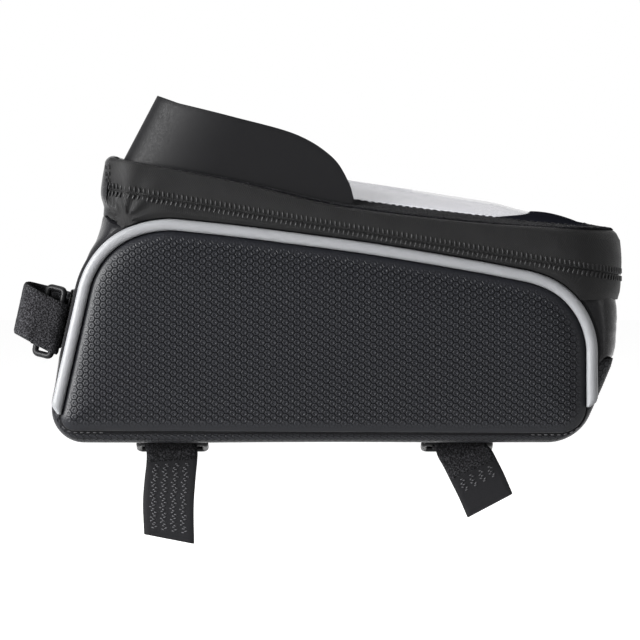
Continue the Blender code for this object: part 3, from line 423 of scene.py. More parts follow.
FRONT_EDGE = PIPING_EDGE[:FRONT_SPLIT + 1]
TOP_EDGE, REAR_LOWER = split_descending(PIPING_EDGE[FRONT_SPLIT:], REAR_SPINE[-1][1])
REAR_EDGE, LAP_EDGE = split_descending(REAR_LOWER, (REAR_SPINE[0][1] + BOTTOM_LAP[1]) / 2)


def band_foot_z(x):
    if x < TOP_EDGE[0].x:
        share = (TOP_EDGE[0].x - x) / (TOP_EDGE[0].x - LID_FRONT_X)
        return TOP_EDGE[0].y + (HINGE_Z - TOP_EDGE[0].y) * share + GAP
    return height_on(TOP_EDGE, x) + GAP


# Mesh builders

def linked(name, data):
    obj = bpy.data.objects.new(name, data)
    bpy.context.scene.collection.objects.link(obj)
    return obj


def to_object(name, bm, mat, sharp=40):
    mesh = bpy.data.meshes.new(name)
    bm.to_mesh(mesh)
    bm.free()
    mesh.materials.append(mat)
    mesh.shade_smooth()
    mesh.set_sharp_from_angle(angle=math.radians(sharp))
    return linked(name, mesh)


def upward(place):
    return Vector((0.0, 0.0, 1.0))


def mark(obj, body, node=None):
    """Hide the node that the piece takes the place of, and attach the piece to the body it rides on."""
    if node:
        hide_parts(node)
    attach(obj, body)
    return obj


def grid(name, rows, mat, closed=False, caps=False, outward=None, sharp=40):
    """A surface through rows of points, with a UV map in metres along and across the rows."""
    bm = bmesh.new()
    uv_layer = bm.loops.layers.uv.new("metres")
    verts = [[bm.verts.new(p) for p in row] for row in rows]
    count = len(rows[0])
    across = [lengths_along(list(row) + [row[0]]) for row in rows]
    down = [lengths_along([row[k] for row in rows]) for k in range(count)]
    for i in range(len(rows) - 1):
        for k in range(count if closed else count - 1):
            n = (k + 1) % count
            face = bm.faces.new([verts[i][k], verts[i][n], verts[i + 1][n], verts[i + 1][k]])
            places = ((i, k, k), (i, k + 1, n), (i + 1, k + 1, n), (i + 1, k, k))
            for loop, (row, place, column) in zip(face.loops, places):
                loop[uv_layer].uv = (down[column][row], across[row][place])
    if caps:
        bm.faces.new(list(reversed(verts[0])))
        bm.faces.new(verts[-1])
        bmesh.ops.recalc_face_normals(bm, faces=bm.faces)
    elif outward is not None:
        bm.normal_update()
        facing = sum(face.normal.dot(outward(face.calc_center_median())) * face.calc_area()
                     for face in bm.faces)
        if facing < 0:
            bmesh.ops.reverse_faces(bm, faces=bm.faces)
    return to_object(name, bm, mat, sharp)


def thicken(obj, thickness, levels=1):
    solidify = obj.modifiers.new("thickness", "SOLIDIFY")
    solidify.thickness = thickness
    solidify.offset = -1.0
    solidify.use_even_offset = True
    if levels:
        rounding = obj.modifiers.new("rounding", "SUBSURF")
        rounding.levels = levels
        rounding.render_levels = levels
    return obj


def ease(obj, width, limit):
    edge = obj.modifiers.new("edge", "BEVEL")
    edge.width = width
    edge.segments = 2
    edge.limit_method = "ANGLE"
    edge.angle_limit = math.radians(limit)


def merged(name, parts, mat):
    """One object from lists of (vertices, faces)."""
    vertices, faces = [], []
    for part_vertices, part_faces in parts:
        base = len(vertices)
        vertices += part_vertices
        faces += [[base + i for i in face] for face in part_faces]
    mesh = bpy.data.meshes.new(name)
    mesh.from_pydata([tuple(v) for v in vertices], [], faces)
    mesh.materials.append(mat)
    mesh.shade_smooth()
    return linked(name, mesh)


def rounded_bar(centre, along, across, out, sink):
    """A low bar with rounded ends and top: half sizes along and across, and the height out of the face."""
    vertices, faces = [], []
    a, b = along.length, across.length
    u, v, w = along.normalized(), across.normalized(), out.normalized()
    outline = ((-1.0, -0.7), (-0.55, -1.0), (0.55, -1.0), (1.0, -0.7),
               (1.0, 0.7), (0.55, 1.0), (-0.55, 1.0), (-1.0, 0.7))
    for share, lift in ((1.0, -sink), (0.92, out.length * 0.5), (0.5, out.length)):
        vertices += [centre + u * (x * a * share) + v * (y * b * (0.5 + share / 2)) + w * lift
                     for x, y in outline]
    for ring in (0, 8):
        faces += [[ring + k, ring + (k + 1) % 8, ring + 8 + (k + 1) % 8, ring + 8 + k] for k in range(8)]
    faces.append([16 + k for k in range(8)])
    faces.append(list(reversed(range(8))))
    return vertices, faces


def stitches(name, points, normals, mat, length=0.0017, space=0.0009, radius=0.00022):
    """Thread stitches along a seam, each a short bar half sunk in the cloth."""
    pitch = length + space
    count = int(lengths_along(points)[-1] / pitch)
    parts = []
    for i, share in places_at(points, [(k + 0.5) * pitch for k in range(count)]):
        centre = points[i].lerp(points[i + 1], share)
        direction = (points[i + 1] - points[i]).normalized()
        out = normals[i].normalized()
        side = direction.cross(out)
        parts.append(rounded_bar(centre, direction * length / 2, side * radius, out * radius, radius))
    return merged(name, parts, mat)


# Materials

class Finish:
    """A procedural material with its textures measured in metres."""

    def __init__(self, name, roughness, specular, uv=False):
        self.material = bpy.data.materials.new(name)
        self.material.use_nodes = True
        self.tree = self.material.node_tree
        self.shader = self.tree.nodes["Principled BSDF"]
        self.shader.inputs["Roughness"].default_value = roughness
        self.shader.inputs["Specular IOR Level"].default_value = specular
        place = self.tree.nodes.new("ShaderNodeTexCoord")
        self.place = place.outputs["UV" if uv else "Object"]
        self.normal = None

    def link(self, source, target):
        self.tree.links.new(source, target)

    def math(self, operation, a, b=None):
        node = self.tree.nodes.new("ShaderNodeMath")
        node.operation = operation
        for socket, value in zip(node.inputs, (a, b)):
            if value is None:
                continue
            if isinstance(value, (int, float)):
                socket.default_value = value
            else:
                self.link(value, socket)
        return node.outputs[0]

    def noise(self, scale, detail=3.0, stretch=(1.0, 1.0, 1.0), roughness=0.55):
        mapping = self.tree.nodes.new("ShaderNodeMapping")
        mapping.inputs["Scale"].default_value = [scale * s for s in stretch]
        self.link(self.place, mapping.inputs["Vector"])
        node = self.tree.nodes.new("ShaderNodeTexNoise")
        node.inputs["Scale"].default_value = 1.0
        node.inputs["Detail"].default_value = detail
        node.inputs["Roughness"].default_value = roughness
        self.link(mapping.outputs["Vector"], node.inputs["Vector"])
        return node.outputs["Fac"]

    def cells(self, scale):
        node = self.tree.nodes.new("ShaderNodeTexVoronoi")
        node.inputs["Scale"].default_value = scale
        self.link(self.place, node.inputs["Vector"])
        return node.outputs["Distance"]

    def axes(self):
        node = self.tree.nodes.new("ShaderNodeSeparateXYZ")
        self.link(self.place, node.inputs[0])
        return node.outputs

    def wave(self, value, pitch):
        """A sine of 0 to 1 along a coordinate."""
        turns = self.math("MULTIPLY", value, math.tau / pitch)
        return self.math("ADD", self.math("MULTIPLY", self.math("SINE", turns), 0.5), 0.5)

    def ramp(self, value, low, high, to_low=0.0, to_high=1.0):
        node = self.tree.nodes.new("ShaderNodeMapRange")
        node.interpolation_type = "SMOOTHSTEP"
        for socket, number in zip(("From Min", "From Max", "To Min", "To Max"), (low, high, to_low, to_high)):
            node.inputs[socket].default_value = number
        self.link(value, node.inputs["Value"])
        return node.outputs["Result"]

    def colour(self, factor, dark, light):
        node = self.tree.nodes.new("ShaderNodeMix")
        node.data_type = "RGBA"
        node.inputs["A"].default_value = (*dark, 1.0)
        node.inputs["B"].default_value = (*light, 1.0)
        self.link(factor, node.inputs["Factor"])
        self.link(node.outputs["Result"], self.shader.inputs["Base Color"])
        return self

    def rough(self, factor, low, high):
        self.link(self.ramp(factor, 0.3, 0.7, low, high), self.shader.inputs["Roughness"])
        return self

    def bump(self, height, distance, strength):
        node = self.tree.nodes.new("ShaderNodeBump")
        node.inputs["Strength"].default_value = strength
        node.inputs["Distance"].default_value = distance
        self.link(height, node.inputs["Height"])
        if self.normal is not None:
            self.link(self.normal, node.inputs["Normal"])
        self.normal = node.outputs["Normal"]
        self.link(self.normal, self.shader.inputs["Normal"])
        return self

    def from_middle(self, value, offset, period):
        """Distance from the middle of the repeat that the value falls in."""
        turns = self.math("FLOORED_MODULO", self.math("ADD", value, offset), period)
        return self.math("ABSOLUTE", self.math("SUBTRACT", turns, period / 2))

    def hexagons(self, first, second, origin, pitch):
        """Groove and dimple masks of hexagonal tiles in rows along the first coordinate."""
        wide = pitch * math.sqrt(3)
        radii, reaches = [], []
        for shift in (0.5, 1.0):
            a = self.from_middle(first, shift * wide - origin[0], wide)
            b = self.from_middle(second, shift * pitch - origin[1], pitch)
            squares = self.math("ADD", self.math("MULTIPLY", a, a), self.math("MULTIPLY", b, b))
            slanted = self.math("ADD", self.math("MULTIPLY", a, math.sqrt(3) / 2),
                                self.math("MULTIPLY", b, 0.5))
            radii.append(self.math("SQRT", squares))
            reaches.append(self.math("MAXIMUM", b, slanted))
        radius = self.math("MINIMUM", *radii)
        reach = self.math("MINIMUM", *reaches)
        groove = self.ramp(reach, *(pitch * share for share in HEX_GROOVE_SPAN))
        dimple = self.ramp(radius, *(pitch * share for share in HEX_DIMPLE_SPAN), 1.0, 0.0)
        return groove, dimple


def tiled_shell(name, uv, origin, faded):
    """Coated shell with hexagonal tiles; the panels carry their fade to the rim in the mesh. The grooves are
    painted darker and reflect less: painted shade in the recesses.
    """
    f = Finish(name, 0.38, 0.15, uv=uv)
    x, y, z = f.axes()
    groove, dimple = f.hexagons(*((x, z) if faded else (y, x)), origin, HEX_PITCH)
    if faded:
        fade = f.tree.nodes.new("ShaderNodeAttribute")
        fade.attribute_name = "fade"
        groove = f.math("MULTIPLY", groove, fade.outputs["Fac"])
        dimple = f.math("MULTIPLY", dimple, fade.outputs["Fac"])
    grain = f.noise(3800.0, 2.0)
    height = f.math("SUBTRACT", f.math("SUBTRACT", 1.0, groove), f.math("MULTIPLY", dimple, 0.8))
    # Base colour darkens in the grooves (painted shade in the recesses), times the grain's own tone at random
    groove_painted_shade_and_grain = f.math("MULTIPLY", f.math("SUBTRACT", 1.0, groove), f.ramp(grain, 0.2, 0.8, 0.8, 1.0))
    f.colour(groove_painted_shade_and_grain, (0.0026, 0.0027, 0.0032), (0.0068, 0.0072, 0.0092))
    # The grooves reflect less as well, as painted shade
    f.link(f.ramp(groove, 0.0, 1.0, 0.15, 0.05), f.shader.inputs["Specular IOR Level"])
    f.rough(f.noise(900.0), 0.34, 0.42)
    f.bump(height, 0.00022, 0.9)
    f.bump(grain, 0.00002, 0.5)
    return f.material


def leather_finish(name, low, high, specular):
    """Smooth coated fabric with soft unevenness."""
    f = Finish(name, 0.26, specular)
    wear = f.noise(160.0, 4.0)
    f.colour(wear, low, high)
    f.rough(f.noise(420.0, 4.0), 0.20, 0.32)
    f.bump(f.noise(220.0, 4.0), 0.00035, 0.5)
    f.bump(f.cells(2400.0), 0.00004, 0.5)
    return f.material


def band_finish():
    """Thin coated fabric with a fine diamond grain."""
    f = Finish("diamond_coated", 0.44, 0.10, uv=True)
    u, v, _ = f.axes()
    diagonal = f.wave(f.math("ADD", u, v), 0.00078)
    other = f.wave(f.math("SUBTRACT", u, v), 0.00078)
    diamonds = f.math("MULTIPLY", diagonal, other)
    cloud = f.noise(120.0, 4.0)
    f.colour(f.math("MULTIPLY", diamonds, f.ramp(cloud, 0.3, 0.7, 0.6, 1.0)),
             (0.0045, 0.0045, 0.0047), (0.0130, 0.0129, 0.0130))
    f.rough(cloud, 0.38, 0.52)
    f.bump(cloud, 0.0006, 0.35)
    f.bump(diamonds, 0.00010, 0.8)
    return f.material


def piping_finish():
    """Grey reflective tape: glass beads on a fine weave."""
    f = Finish("reflective_tape", 0.42, 0.35, uv=True)
    u, v, _ = f.axes()
    weave = f.math("MULTIPLY", f.wave(u, 0.00050), f.wave(v, 0.00050))
    cloud = f.noise(260.0, 3.0)
    f.colour(f.math("ADD", f.math("MULTIPLY", weave, 0.35), f.math("MULTIPLY", cloud, 0.65)),
             (0.130, 0.133, 0.139), (0.192, 0.195, 0.203))
    f.rough(cloud, 0.36, 0.50)
    f.bump(weave, 0.00003, 0.6)
    f.bump(f.noise(700.0, 2.0, (1.0, 0.25, 1.0)), 0.00012, 0.4)
    return f.material


def knit_finish(name, low, high, scale=1500.0):
    """Matt cloth of small loops."""
    f = Finish(name, 0.95, 0.01)
    fuzz = f.noise(scale, 4.0, roughness=0.7)
    f.colour(f.ramp(fuzz, 0.42, 0.72), low, high)
    f.bump(f.cells(scale * 0.9), 0.00030, 0.8)
    f.bump(fuzz, 0.00030, 0.9)
    f.shader.inputs["Sheen Weight"].default_value = 0.03
    f.shader.inputs["Sheen Roughness"].default_value = 0.5
    return f.material


def webbing_finish():
    """Woven tape: ribs across and yarns along, in the strap's own metres."""
    f = Finish("strap_web", 0.85, 0.08, uv=True)
    u, v, _ = f.axes()
    yarn = f.math("MULTIPLY", f.wave(u, 0.0009), f.wave(v, 0.0006))
    fuzz = f.noise(2600.0, 3.0)
    f.colour(f.math("MULTIPLY", f.math("ADD", yarn, fuzz), 0.6),
             (0.0045, 0.0045, 0.0050), (0.0180, 0.0180, 0.0195))
    f.bump(yarn, 0.00012, 0.7)
    f.bump(fuzz, 0.00010, 0.6)
    return f.material


def plain_finish(name, low, high, roughness, specular, scale, depth=0.00005):
    """Plain plastic, thread or sheet with a fine grain."""
    f = Finish(name, roughness, specular)
    cloud = f.noise(scale, 3.0)
    f.colour(cloud, low, high)
    f.rough(f.noise(scale * 0.4), roughness * 0.85, roughness * 1.15)
    f.bump(f.noise(scale * 5.0, 2.0), depth, 0.5)
    return f.material


def film_finish():
    """Clear film with a slight haze."""
    f = Finish("clear_film", 0.10, 0.50)
    haze = f.noise(40.0, 2.0)
    f.colour(haze, (0.66, 0.66, 0.71), (0.72, 0.72, 0.77))
    f.link(f.ramp(haze, 0.3, 0.7, 0.34, 0.42), f.shader.inputs["Alpha"])
    f.rough(haze, 0.08, 0.14)
    f.bump(f.noise(30.0, 2.0), 0.0004, 0.25)
    return f.material


SHELL = tiled_shell("panel_shell", False, PANEL_ORIGIN, True)
BOTTOM_SHELL = tiled_shell("bottom_shell", True, (0.0, 0.0), False)
LEATHER = leather_finish("smooth_coated", (0.0040, 0.0040, 0.0046), (0.0085, 0.0085, 0.0096), 0.13)
CAP = leather_finish("smooth_slate", (0.0050, 0.0054, 0.0076), (0.0092, 0.0098, 0.0130), 0.0)
BAND = band_finish()
REFLECTIVE = piping_finish()
KNIT = knit_finish("loop_knit", (0.0022, 0.0022, 0.0027), (0.0230, 0.0230, 0.0255))
FELT = knit_finish("lining_felt", (0.0120, 0.0120, 0.0135), (0.0420, 0.0420, 0.0460), 900.0)
WEB = webbing_finish()
LOOP_TAPE = knit_finish("loop_tape", (0.0065, 0.0065, 0.0070), (0.0520, 0.0520, 0.0560))
HOOKS = plain_finish("hook_plastic", (0.0200, 0.0200, 0.0215), (0.0900, 0.0900, 0.0950), 0.45, 0.20, 2500.0)
HOOK_BASE = plain_finish("hook_base", (0.0040, 0.0040, 0.0046), (0.0100, 0.0100, 0.0112), 0.55, 0.08, 1800.0)
FILM = film_finish()
VISOR_SHEET = plain_finish("visor_sheet", (0.0020, 0.0020, 0.0024), (0.0036, 0.0036, 0.0041), 0.46, 0.10,
                           3000.0, 0.00003)
THREAD = plain_finish("dark_thread", (0.0100, 0.0100, 0.0110), (0.0600, 0.0600, 0.0640), 0.55, 0.40, 3000.0)
DARK_THREAD = plain_finish("strip_thread", (0.0030, 0.0030, 0.0034), (0.0080, 0.0080, 0.0088), 0.6, 0.20,
                           3000.0)
# The coil relief is a little lighter than the band's cloth over it: a painted highlight on the bars
RELIEF_PAINTED_HIGHLIGHT = plain_finish("coil_under_cloth_painted_highlight", (0.0060, 0.0060, 0.0063), (0.0130, 0.0130, 0.0135), 0.34, 0.14,
                      900.0)
COIL = plain_finish("coil_nylon", (0.0110, 0.0110, 0.0118), (0.0260, 0.0260, 0.0275), 0.40, 0.45, 1800.0)
RING = plain_finish("ring_nylon", (0.0030, 0.0030, 0.0034), (0.0060, 0.0060, 0.0066), 0.34, 0.10, 900.0)
LACQUER = plain_finish("slider_lacquer", (0.0120, 0.0120, 0.0130), (0.0260, 0.0260, 0.0280), 0.30, 0.60,
                       1200.0, 0.00002)
BOARD = plain_finish("board", (0.030, 0.030, 0.030), (0.060, 0.060, 0.060), 0.75, 0.30, 500.0)


# Side panels

def distance_to_outline(points, outline):
    """Distance to a closed outline, positive inside, and the nearest place on it."""
    best = np.full(len(points), np.inf)
    nearest = np.zeros_like(points)
    inside = np.zeros(len(points), bool)
    for a, b in zip(outline, np.roll(outline, -1, axis=0)):
        edge = b - a
        t = np.clip(((points - a) @ edge) / max(1e-18, edge @ edge), 0.0, 1.0)
        place = a + t[:, None] * edge
        distance = np.hypot(*(points - place).T)
        closer = distance < best
        best[closer] = distance[closer]
        nearest[closer] = place[closer]
        crosses = (a[1] > points[:, 1]) != (b[1] > points[:, 1])
        with np.errstate(divide="ignore", invalid="ignore"):
            at = (b[0] - a[0]) * (points[:, 1] - a[1]) / (b[1] - a[1]) + a[0]
        inside ^= crosses & (points[:, 0] < at)
    return np.where(inside, best, -best), nearest


def tile_masks(x, z, origin):
    """Groove and dimple masks of the tiles: 1 in the grooves, and 1 in a tile's round dimple."""
    wide = HEX_PITCH * math.sqrt(3)
    best = None
    for shift in (0.0, 0.5):
        a = np.mod(x - origin[0] + shift * wide, wide)
        b = np.mod(z - origin[1] + shift * HEX_PITCH, HEX_PITCH)
        a = np.minimum(a, wide - a)
        b = np.minimum(b, HEX_PITCH - b)
        radius = np.hypot(a, b)
        reach = np.maximum(b, a * math.sqrt(3) / 2 + b / 2)
        if best is None:
            best = [radius, reach]
        else:
            closer = radius < best[0]
            best = [np.where(closer, radius, best[0]), np.where(closer, reach, best[1])]
    half = HEX_PITCH / 2
    groove = smoothstep(*MESH_GROOVE_SPAN, best[1] / half)
    dimple = 1.0 - smoothstep(*MESH_DIMPLE_SPAN, best[0] / half)
    return groove, dimple


def tile_mesh(outline, origin):
    """Points on a triangle grid that fits the tiles, their depth from the rim, and the triangles."""
    step = HEX_PITCH / HEX_STEPS
    column = step * math.sqrt(3) / 2
    columns = int((outline[:, 0].max() - origin[0]) / column) + 3
    heights = int((outline[:, 1].max() - origin[1]) / step) + 3
    assert outline[:, 0].min() > origin[0] and outline[:, 1].min() > origin[1]
    i, j = np.meshgrid(np.arange(columns), np.arange(heights), indexing="ij")
    places = np.stack([origin[0] + i * column, origin[1] + (j + 0.5 * (i % 2)) * step], -1).reshape(-1, 2)
    depth, nearest = distance_to_outline(places, outline)
    on_rim = depth < step * 0.3
    places[on_rim] = nearest[on_rim]
    depth = np.maximum(depth, 0.0)
    depth[on_rim] = 0.0

    index = np.arange(columns * heights).reshape(columns, heights)
    triangles = []
    for first in (0, 1):
        a = index[first:-1:2, :-1]
        a_up = index[first:-1:2, 1:]
        b = index[first + 1::2, :-1][:len(a)]
        b_up = index[first + 1::2, 1:][:len(a)]
        if first == 0:
            triangles += [np.stack([a, b, a_up], -1), np.stack([b, b_up, a_up], -1)]
        else:
            triangles += [np.stack([a, b, b_up], -1), np.stack([a, b_up, a_up], -1)]
    triangles = np.concatenate([t.reshape(-1, 3) for t in triangles])
    return places, depth, triangles[~on_rim[triangles].all(1)]


def side_panel(tag, side):
    """Padded shell: tiled and bulged in front, closed with one flat face behind."""
    outline = np.array([(p.x, p.y) for p, n in flatten(PANEL_ARCS, PANEL_RUNS)])
    origin = np.array(PANEL_ORIGIN)
    places, depth, triangles = tile_mesh(outline, origin)
    groove, dimple = tile_masks(places[:, 0], places[:, 1], origin)
    fade = smoothstep(*HEX_FADE, depth)
    rise = PANEL_BULGE * (1.0 - np.exp(-depth / PANEL_BULGE_RUN)) - 0.0003
    relief = (HEX_GROOVE * groove + HEX_DIMPLE * dimple) * fade
    y = side * (half_width(places[:, 1]) + rise - relief)
    used = np.unique(triangles)
    renumber = np.zeros(len(places), int)
    renumber[used] = np.arange(len(used))
    vertices = np.stack([places[:, 0], y, places[:, 1]], -1)[used]
    mesh = bpy.data.meshes.new("panel_skin_" + tag)
    mesh.from_pydata(vertices.tolist(), [], renumber[triangles].tolist())
    bm = bmesh.new()
    bm.from_mesh(mesh)
    bpy.data.meshes.remove(mesh)
    layer = bm.verts.layers.float.new("fade")
    for vert, value in zip(bm.verts, fade[used]):
        vert[layer] = value
    rim = [edge for edge in bm.edges if edge.is_boundary]
    made = bmesh.ops.extrude_edge_only(bm, edges=rim)["geom"]
    back = [item for item in made if isinstance(item, bmesh.types.BMVert)]
    for vert in back:
        vert.co.y = side * (half_width(vert.co.z) - PANEL_THICKNESS)
    bmesh.ops.edgeloop_fill(bm, edges=[e for e in bm.edges if e.is_boundary])
    bmesh.ops.recalc_face_normals(bm, faces=bm.faces)
    obj = to_object("panel_skin_" + tag, bm, SHELL, 60)
    mark(obj, "bag", "side_panel_" + tag)


def piping(tag, side):
    """Reflective tape folded over a cord, pinched at both ends."""
    rows = []
    for (point, normal), width in zip(PIPING_STATIONS, PIPING_WIDTHS):
        middle = point + normal * (GAP + width / 2)
        base = half_width(middle.y) - PIPING_ROOT
        crown = min(1.0, width / PIPING_WIDTH + 0.25)
        row = []
        for k in range(17):
            angle = math.pi * k / 16
            place = middle + normal * (math.cos(angle) * width / 2)
            rise = PIPING_ROOT + PIPING_CROWN * 1.15 * crown * math.sin(angle)
            row.append(Vector((place.x, side * (base + rise), place.y)))
        for share in (-1.0, 1.0):
            place = middle + normal * (share * width / 2)
            row.append(Vector((place.x, side * base, place.y)))
        rows.append(row)
    obj = grid("piping_tape_" + tag, rows, REFLECTIVE, closed=True, caps=True)
    mark(obj, "bag", "piping_" + tag)


def seam_tape(tag, side):
    """The dark seam allowance that shows as a line on both sides of the piping."""
    rows = []
    for point, normal in flatten(PANEL_ARCS, PANEL_RUNS) + PANEL_ARCS[0][:1]:
        row = []
        for offset in (-0.0022, 0.0, PIPING_WIDTH * 0.5, PIPING_WIDTH + 2 * GAP,
                       PIPING_WIDTH + SEAM_GAP + 0.0006):
            reach = min(offset, 0.0006 + 0.0045 * float(smoothstep(0.015, 0.027, point.y))
                        + 0.0010 * float(smoothstep(0.030, 0.036, point.y)))
            place = point + normal * reach
            row.append(Vector((place.x, side * (half_width(place.y) - PIPING_ROOT - GAP), place.y)))
        rows.append(row)
    obj = thicken(grid("seam_tape_" + tag, rows, WEB, outward=lambda p: Vector((0, side, 0))), 0.0004, 0)
    mark(obj, "bag")


# Gussets

def gusset_rows(edge, spine, flat, ripple):
    """Rows across a wall strip, with small folds from ripple(share along, across)."""
    turns, flats = 10, 16
    profile = []
    for k in range(turns + 1):
        angle = math.pi / 2 * k / turns
        profile.append((-(flat + (1 - flat) * math.cos(angle)), math.sin(angle)))
    profile += [(-flat + 2 * flat * k / flats, 1.0) for k in range(1, flats)]
    profile += [(-v, q) for v, q in reversed(profile[:turns + 1])]
    rows = []
    for i, (rim, middle) in enumerate(zip(edge, spine)):
        reach = half_width(rim.y) - PANEL_THICKNESS - GAP
        push = (middle - rim).normalized() if (middle - rim).length > 1e-6 else Vector((0.0, 0.0))
        row = []
        for v, q in profile:
            at = rim.lerp(middle, q) + push * ripple(i / (len(edge) - 1), v) * min(1.0, q * 2)
            row.append(Vector((at.x, v * reach, at.y)))
        rows.append(row)
    return rows


def folds(seed, depth):
    def ripple(share, across):
        place = Vector((share * FOLD_DENSITY * 0.25 + seed, across * FOLD_DENSITY * 0.10, seed * 3.1))
        return depth * noise.noise(place)
    return ripple


def run_on(points, step):
    """The points and three more past the last one, each a step farther."""
    return points + [points[-1] + Vector(step) * k for k in (1, 2, 3)]


def run_before(points, step):
    return run_on(points[::-1], step)[::-1]


def gusset_piece(name, node, rows, mat):
    inside = Vector((0.0, 0.0, 0.045))
    obj = grid(name, rows, mat, outward=lambda p: p - inside, sharp=60)
    thicken(obj, GUSSET_THICKNESS, 1)
    mark(obj, "bag", node)
    return obj


def front_folds(share, across):
    crease = math.exp(-((share - 0.93) / 0.03) ** 2) - math.exp(-((share - 0.98) / 0.03) ** 2)
    return 0.0009 * crease + folds(1.7, 0.0012)(share, across)


def front_gusset():
    edge = run_on(resample(FRONT_EDGE, 60, start_cut=SEAM_GAP), (0.0012, 0.0006))
    spine = resample(smooth_curve(FRONT_SPINE, 12), 60, start_cut=SEAM_GAP)
    spine += [Vector((-0.0878, 0.0886)), Vector((-0.0872, 0.0905)), Vector((-0.0870, 0.0925))]
    rows = gusset_rows(edge, spine, FRONT_FLAT, front_folds)
    gusset_piece("front_wall", "front_gusset", rows, LEATHER)


def rear_gusset():
    edge = run_before(resample(REAR_EDGE, 30, start_cut=GAP, end_cut=GAP), (-0.0012, 0.0012))
    downward = list(reversed(smooth_curve(REAR_SPINE, 12)))
    spine = run_before(resample(downward, 30, start_cut=GAP, end_cut=GAP), (-0.0002, 0.0014))
    rows = gusset_rows(run_on(edge, (-0.0004, -0.0012)), run_on(spine, (-0.0010, -0.0012)), REAR_FLAT,
                       folds(5.2, 0.0003))
    gusset_piece("rear_wall", "rear_gusset", rows, LEATHER)


def bottom_panel():
    corners = (BOTTOM_FRONT_CORNER, FRONT_SPINE[0], BOTTOM_LAP, BOTTOM_REAR_CORNER)
    radii = (BOTTOM_FRONT_RADIUS, 0.0, 0.0, BOTTOM_REAR_RADIUS)
    arcs, runs = rounded_outline(corners, radii, (1, 1, 1, 8 * FINE), (4 * FINE, 1, 1, 5 * FINE))
    tail = resample([p for p, n in arcs[0]] + [Vector(FRONT_SPINE[0])], 4 * FINE + 1)
    spine = [Vector(BOTTOM_LAP)] + [p for p, n in arcs[3]] + [p for p, n in runs[3]] + tail
    rear = resample_arc(PANEL_ARCS[3], 5 * FINE + 1)
    front = resample_arc(PANEL_ARCS[0], 4 * FINE + 1)
    edge = [LAP_EDGE[0]] + [p + n * 2 * GAP for p, n in rear + PANEL_RUNS[3] + front]
    rows = gusset_rows(shortened(edge, GAP), shortened(spine, GAP), BOTTOM_FLAT, folds(9.0, 0.0002))
    gusset_piece("bottom_shell", "bottom_panel", rows, BOTTOM_SHELL)


# Bands and zip

def wrinkle(x, z):
    """Folds that run together on the band's front corner, above the piping."""
    dx, dz = x - LID_FRONT_X - 0.009, z - HINGE_Z + 0.003
    reach = math.hypot(dx, dz)
    angle = math.atan2(dz, dx)
    fall = math.exp(-(reach / 0.014) ** 2) * min(1.0, reach / 0.004)
    return 0.0007 * math.sin(angle * 9.0) * fall


def band_section(point, normal, foot, top, roll, bulge, levels):
    """Closed profile of the wall at one station: up the outside, over the rolled edge, down the inside."""
    section = []
    roll = min(roll, (top - foot) * 0.45)
    rear = float(smoothstep(*REAR_BLEND, point.x))
    for k in range(levels + 1):
        t = k / levels
        z = foot + (top - roll - foot) * t
        out = bulge * math.sin(math.pi * t) * (1.0 - 0.8 * rear) + rear * rear_swell(z)
        out += wrinkle(point.x, z)
        section.append((out, z))
    for k in range(1, 6):
        angle = math.pi / 2 * k / 5
        section.append((-roll * (1 - math.cos(angle)), top - roll + roll * math.sin(angle)))
    inner_top = section[-1]
    section.append((inner_top[0] - BAND_THICKNESS * 0.6, top - BAND_THICKNESS * 0.35))
    section.append((inner_top[0] - BAND_THICKNESS, top - BAND_THICKNESS))
    section.append((-BAND_THICKNESS, top - roll - BAND_THICKNESS))
    section.append((-BAND_THICKNESS, foot))
    return [Vector((point.x + normal.x * out, point.y + normal.y * out, z)) for out, z in section]


def rear_swell(z):
    """How far the band stands out behind: fullest at the zip, drawn in to the seam below it."""
    low, high = band_foot_z(LID_REAR_X), height_on(RIM_CURVE, LID_REAR_X)
    share = min(1.0, max(0.0, (z - low) / (high - low)))
    return 0.0010 * math.sin(math.pi * share) - 0.0004 * (1.0 - float(smoothstep(0.0, 0.12, share)))


def rim_roll(x):
    """Radius of the rolled upper edge, wider round the rider's end."""
    return 0.0011 + 0.0035 * float(smoothstep(0.060, 0.100, x))


def coil_bars(name, stations, level, out_of_face, mat, body):
    """One row of coil turns: relief on the coated tape, or teeth inside where out_of_face is negative."""
    outside = out_of_face >= 0
    sign = 1.0 if outside else -1.0
    height = COIL_BAR[2] * (1.0 if outside else TEETH_HEIGHT_SHARE)
    parts = []
    even = spaced(stations, COIL_PITCH)
    for (a, normal), (b, _) in zip(even, even[1:]):
        middle = a.lerp(b, 0.5)
        run = (b - a).normalized()
        along = Vector((run.x, run.y, ZIP_SLOPE * run.x)).normalized()
        rear = float(smoothstep(*REAR_BLEND, middle.x))
        swell = rear * rear_swell(zip_z(middle.x))
        face = middle + normal * (out_of_face + (swell if outside else 0.0))
        out = Vector((normal.x, normal.y, 0.0)) * sign
        up = out.cross(along).normalized()
        if up.z < 0:
            up.negate()
        lean = (up + along * 0.18 * math.copysign(1.0, level)).normalized()
        centre = Vector((face.x, face.y, zip_z(middle.x))) + up * level
        parts.append(rounded_bar(centre, along * COIL_BAR[0] / 2, lean * COIL_BAR[1] / 2,
                                 out * height * (1.0 - 0.8 * rear), 0.0002))
    return mark(merged(name, parts, mat), body)


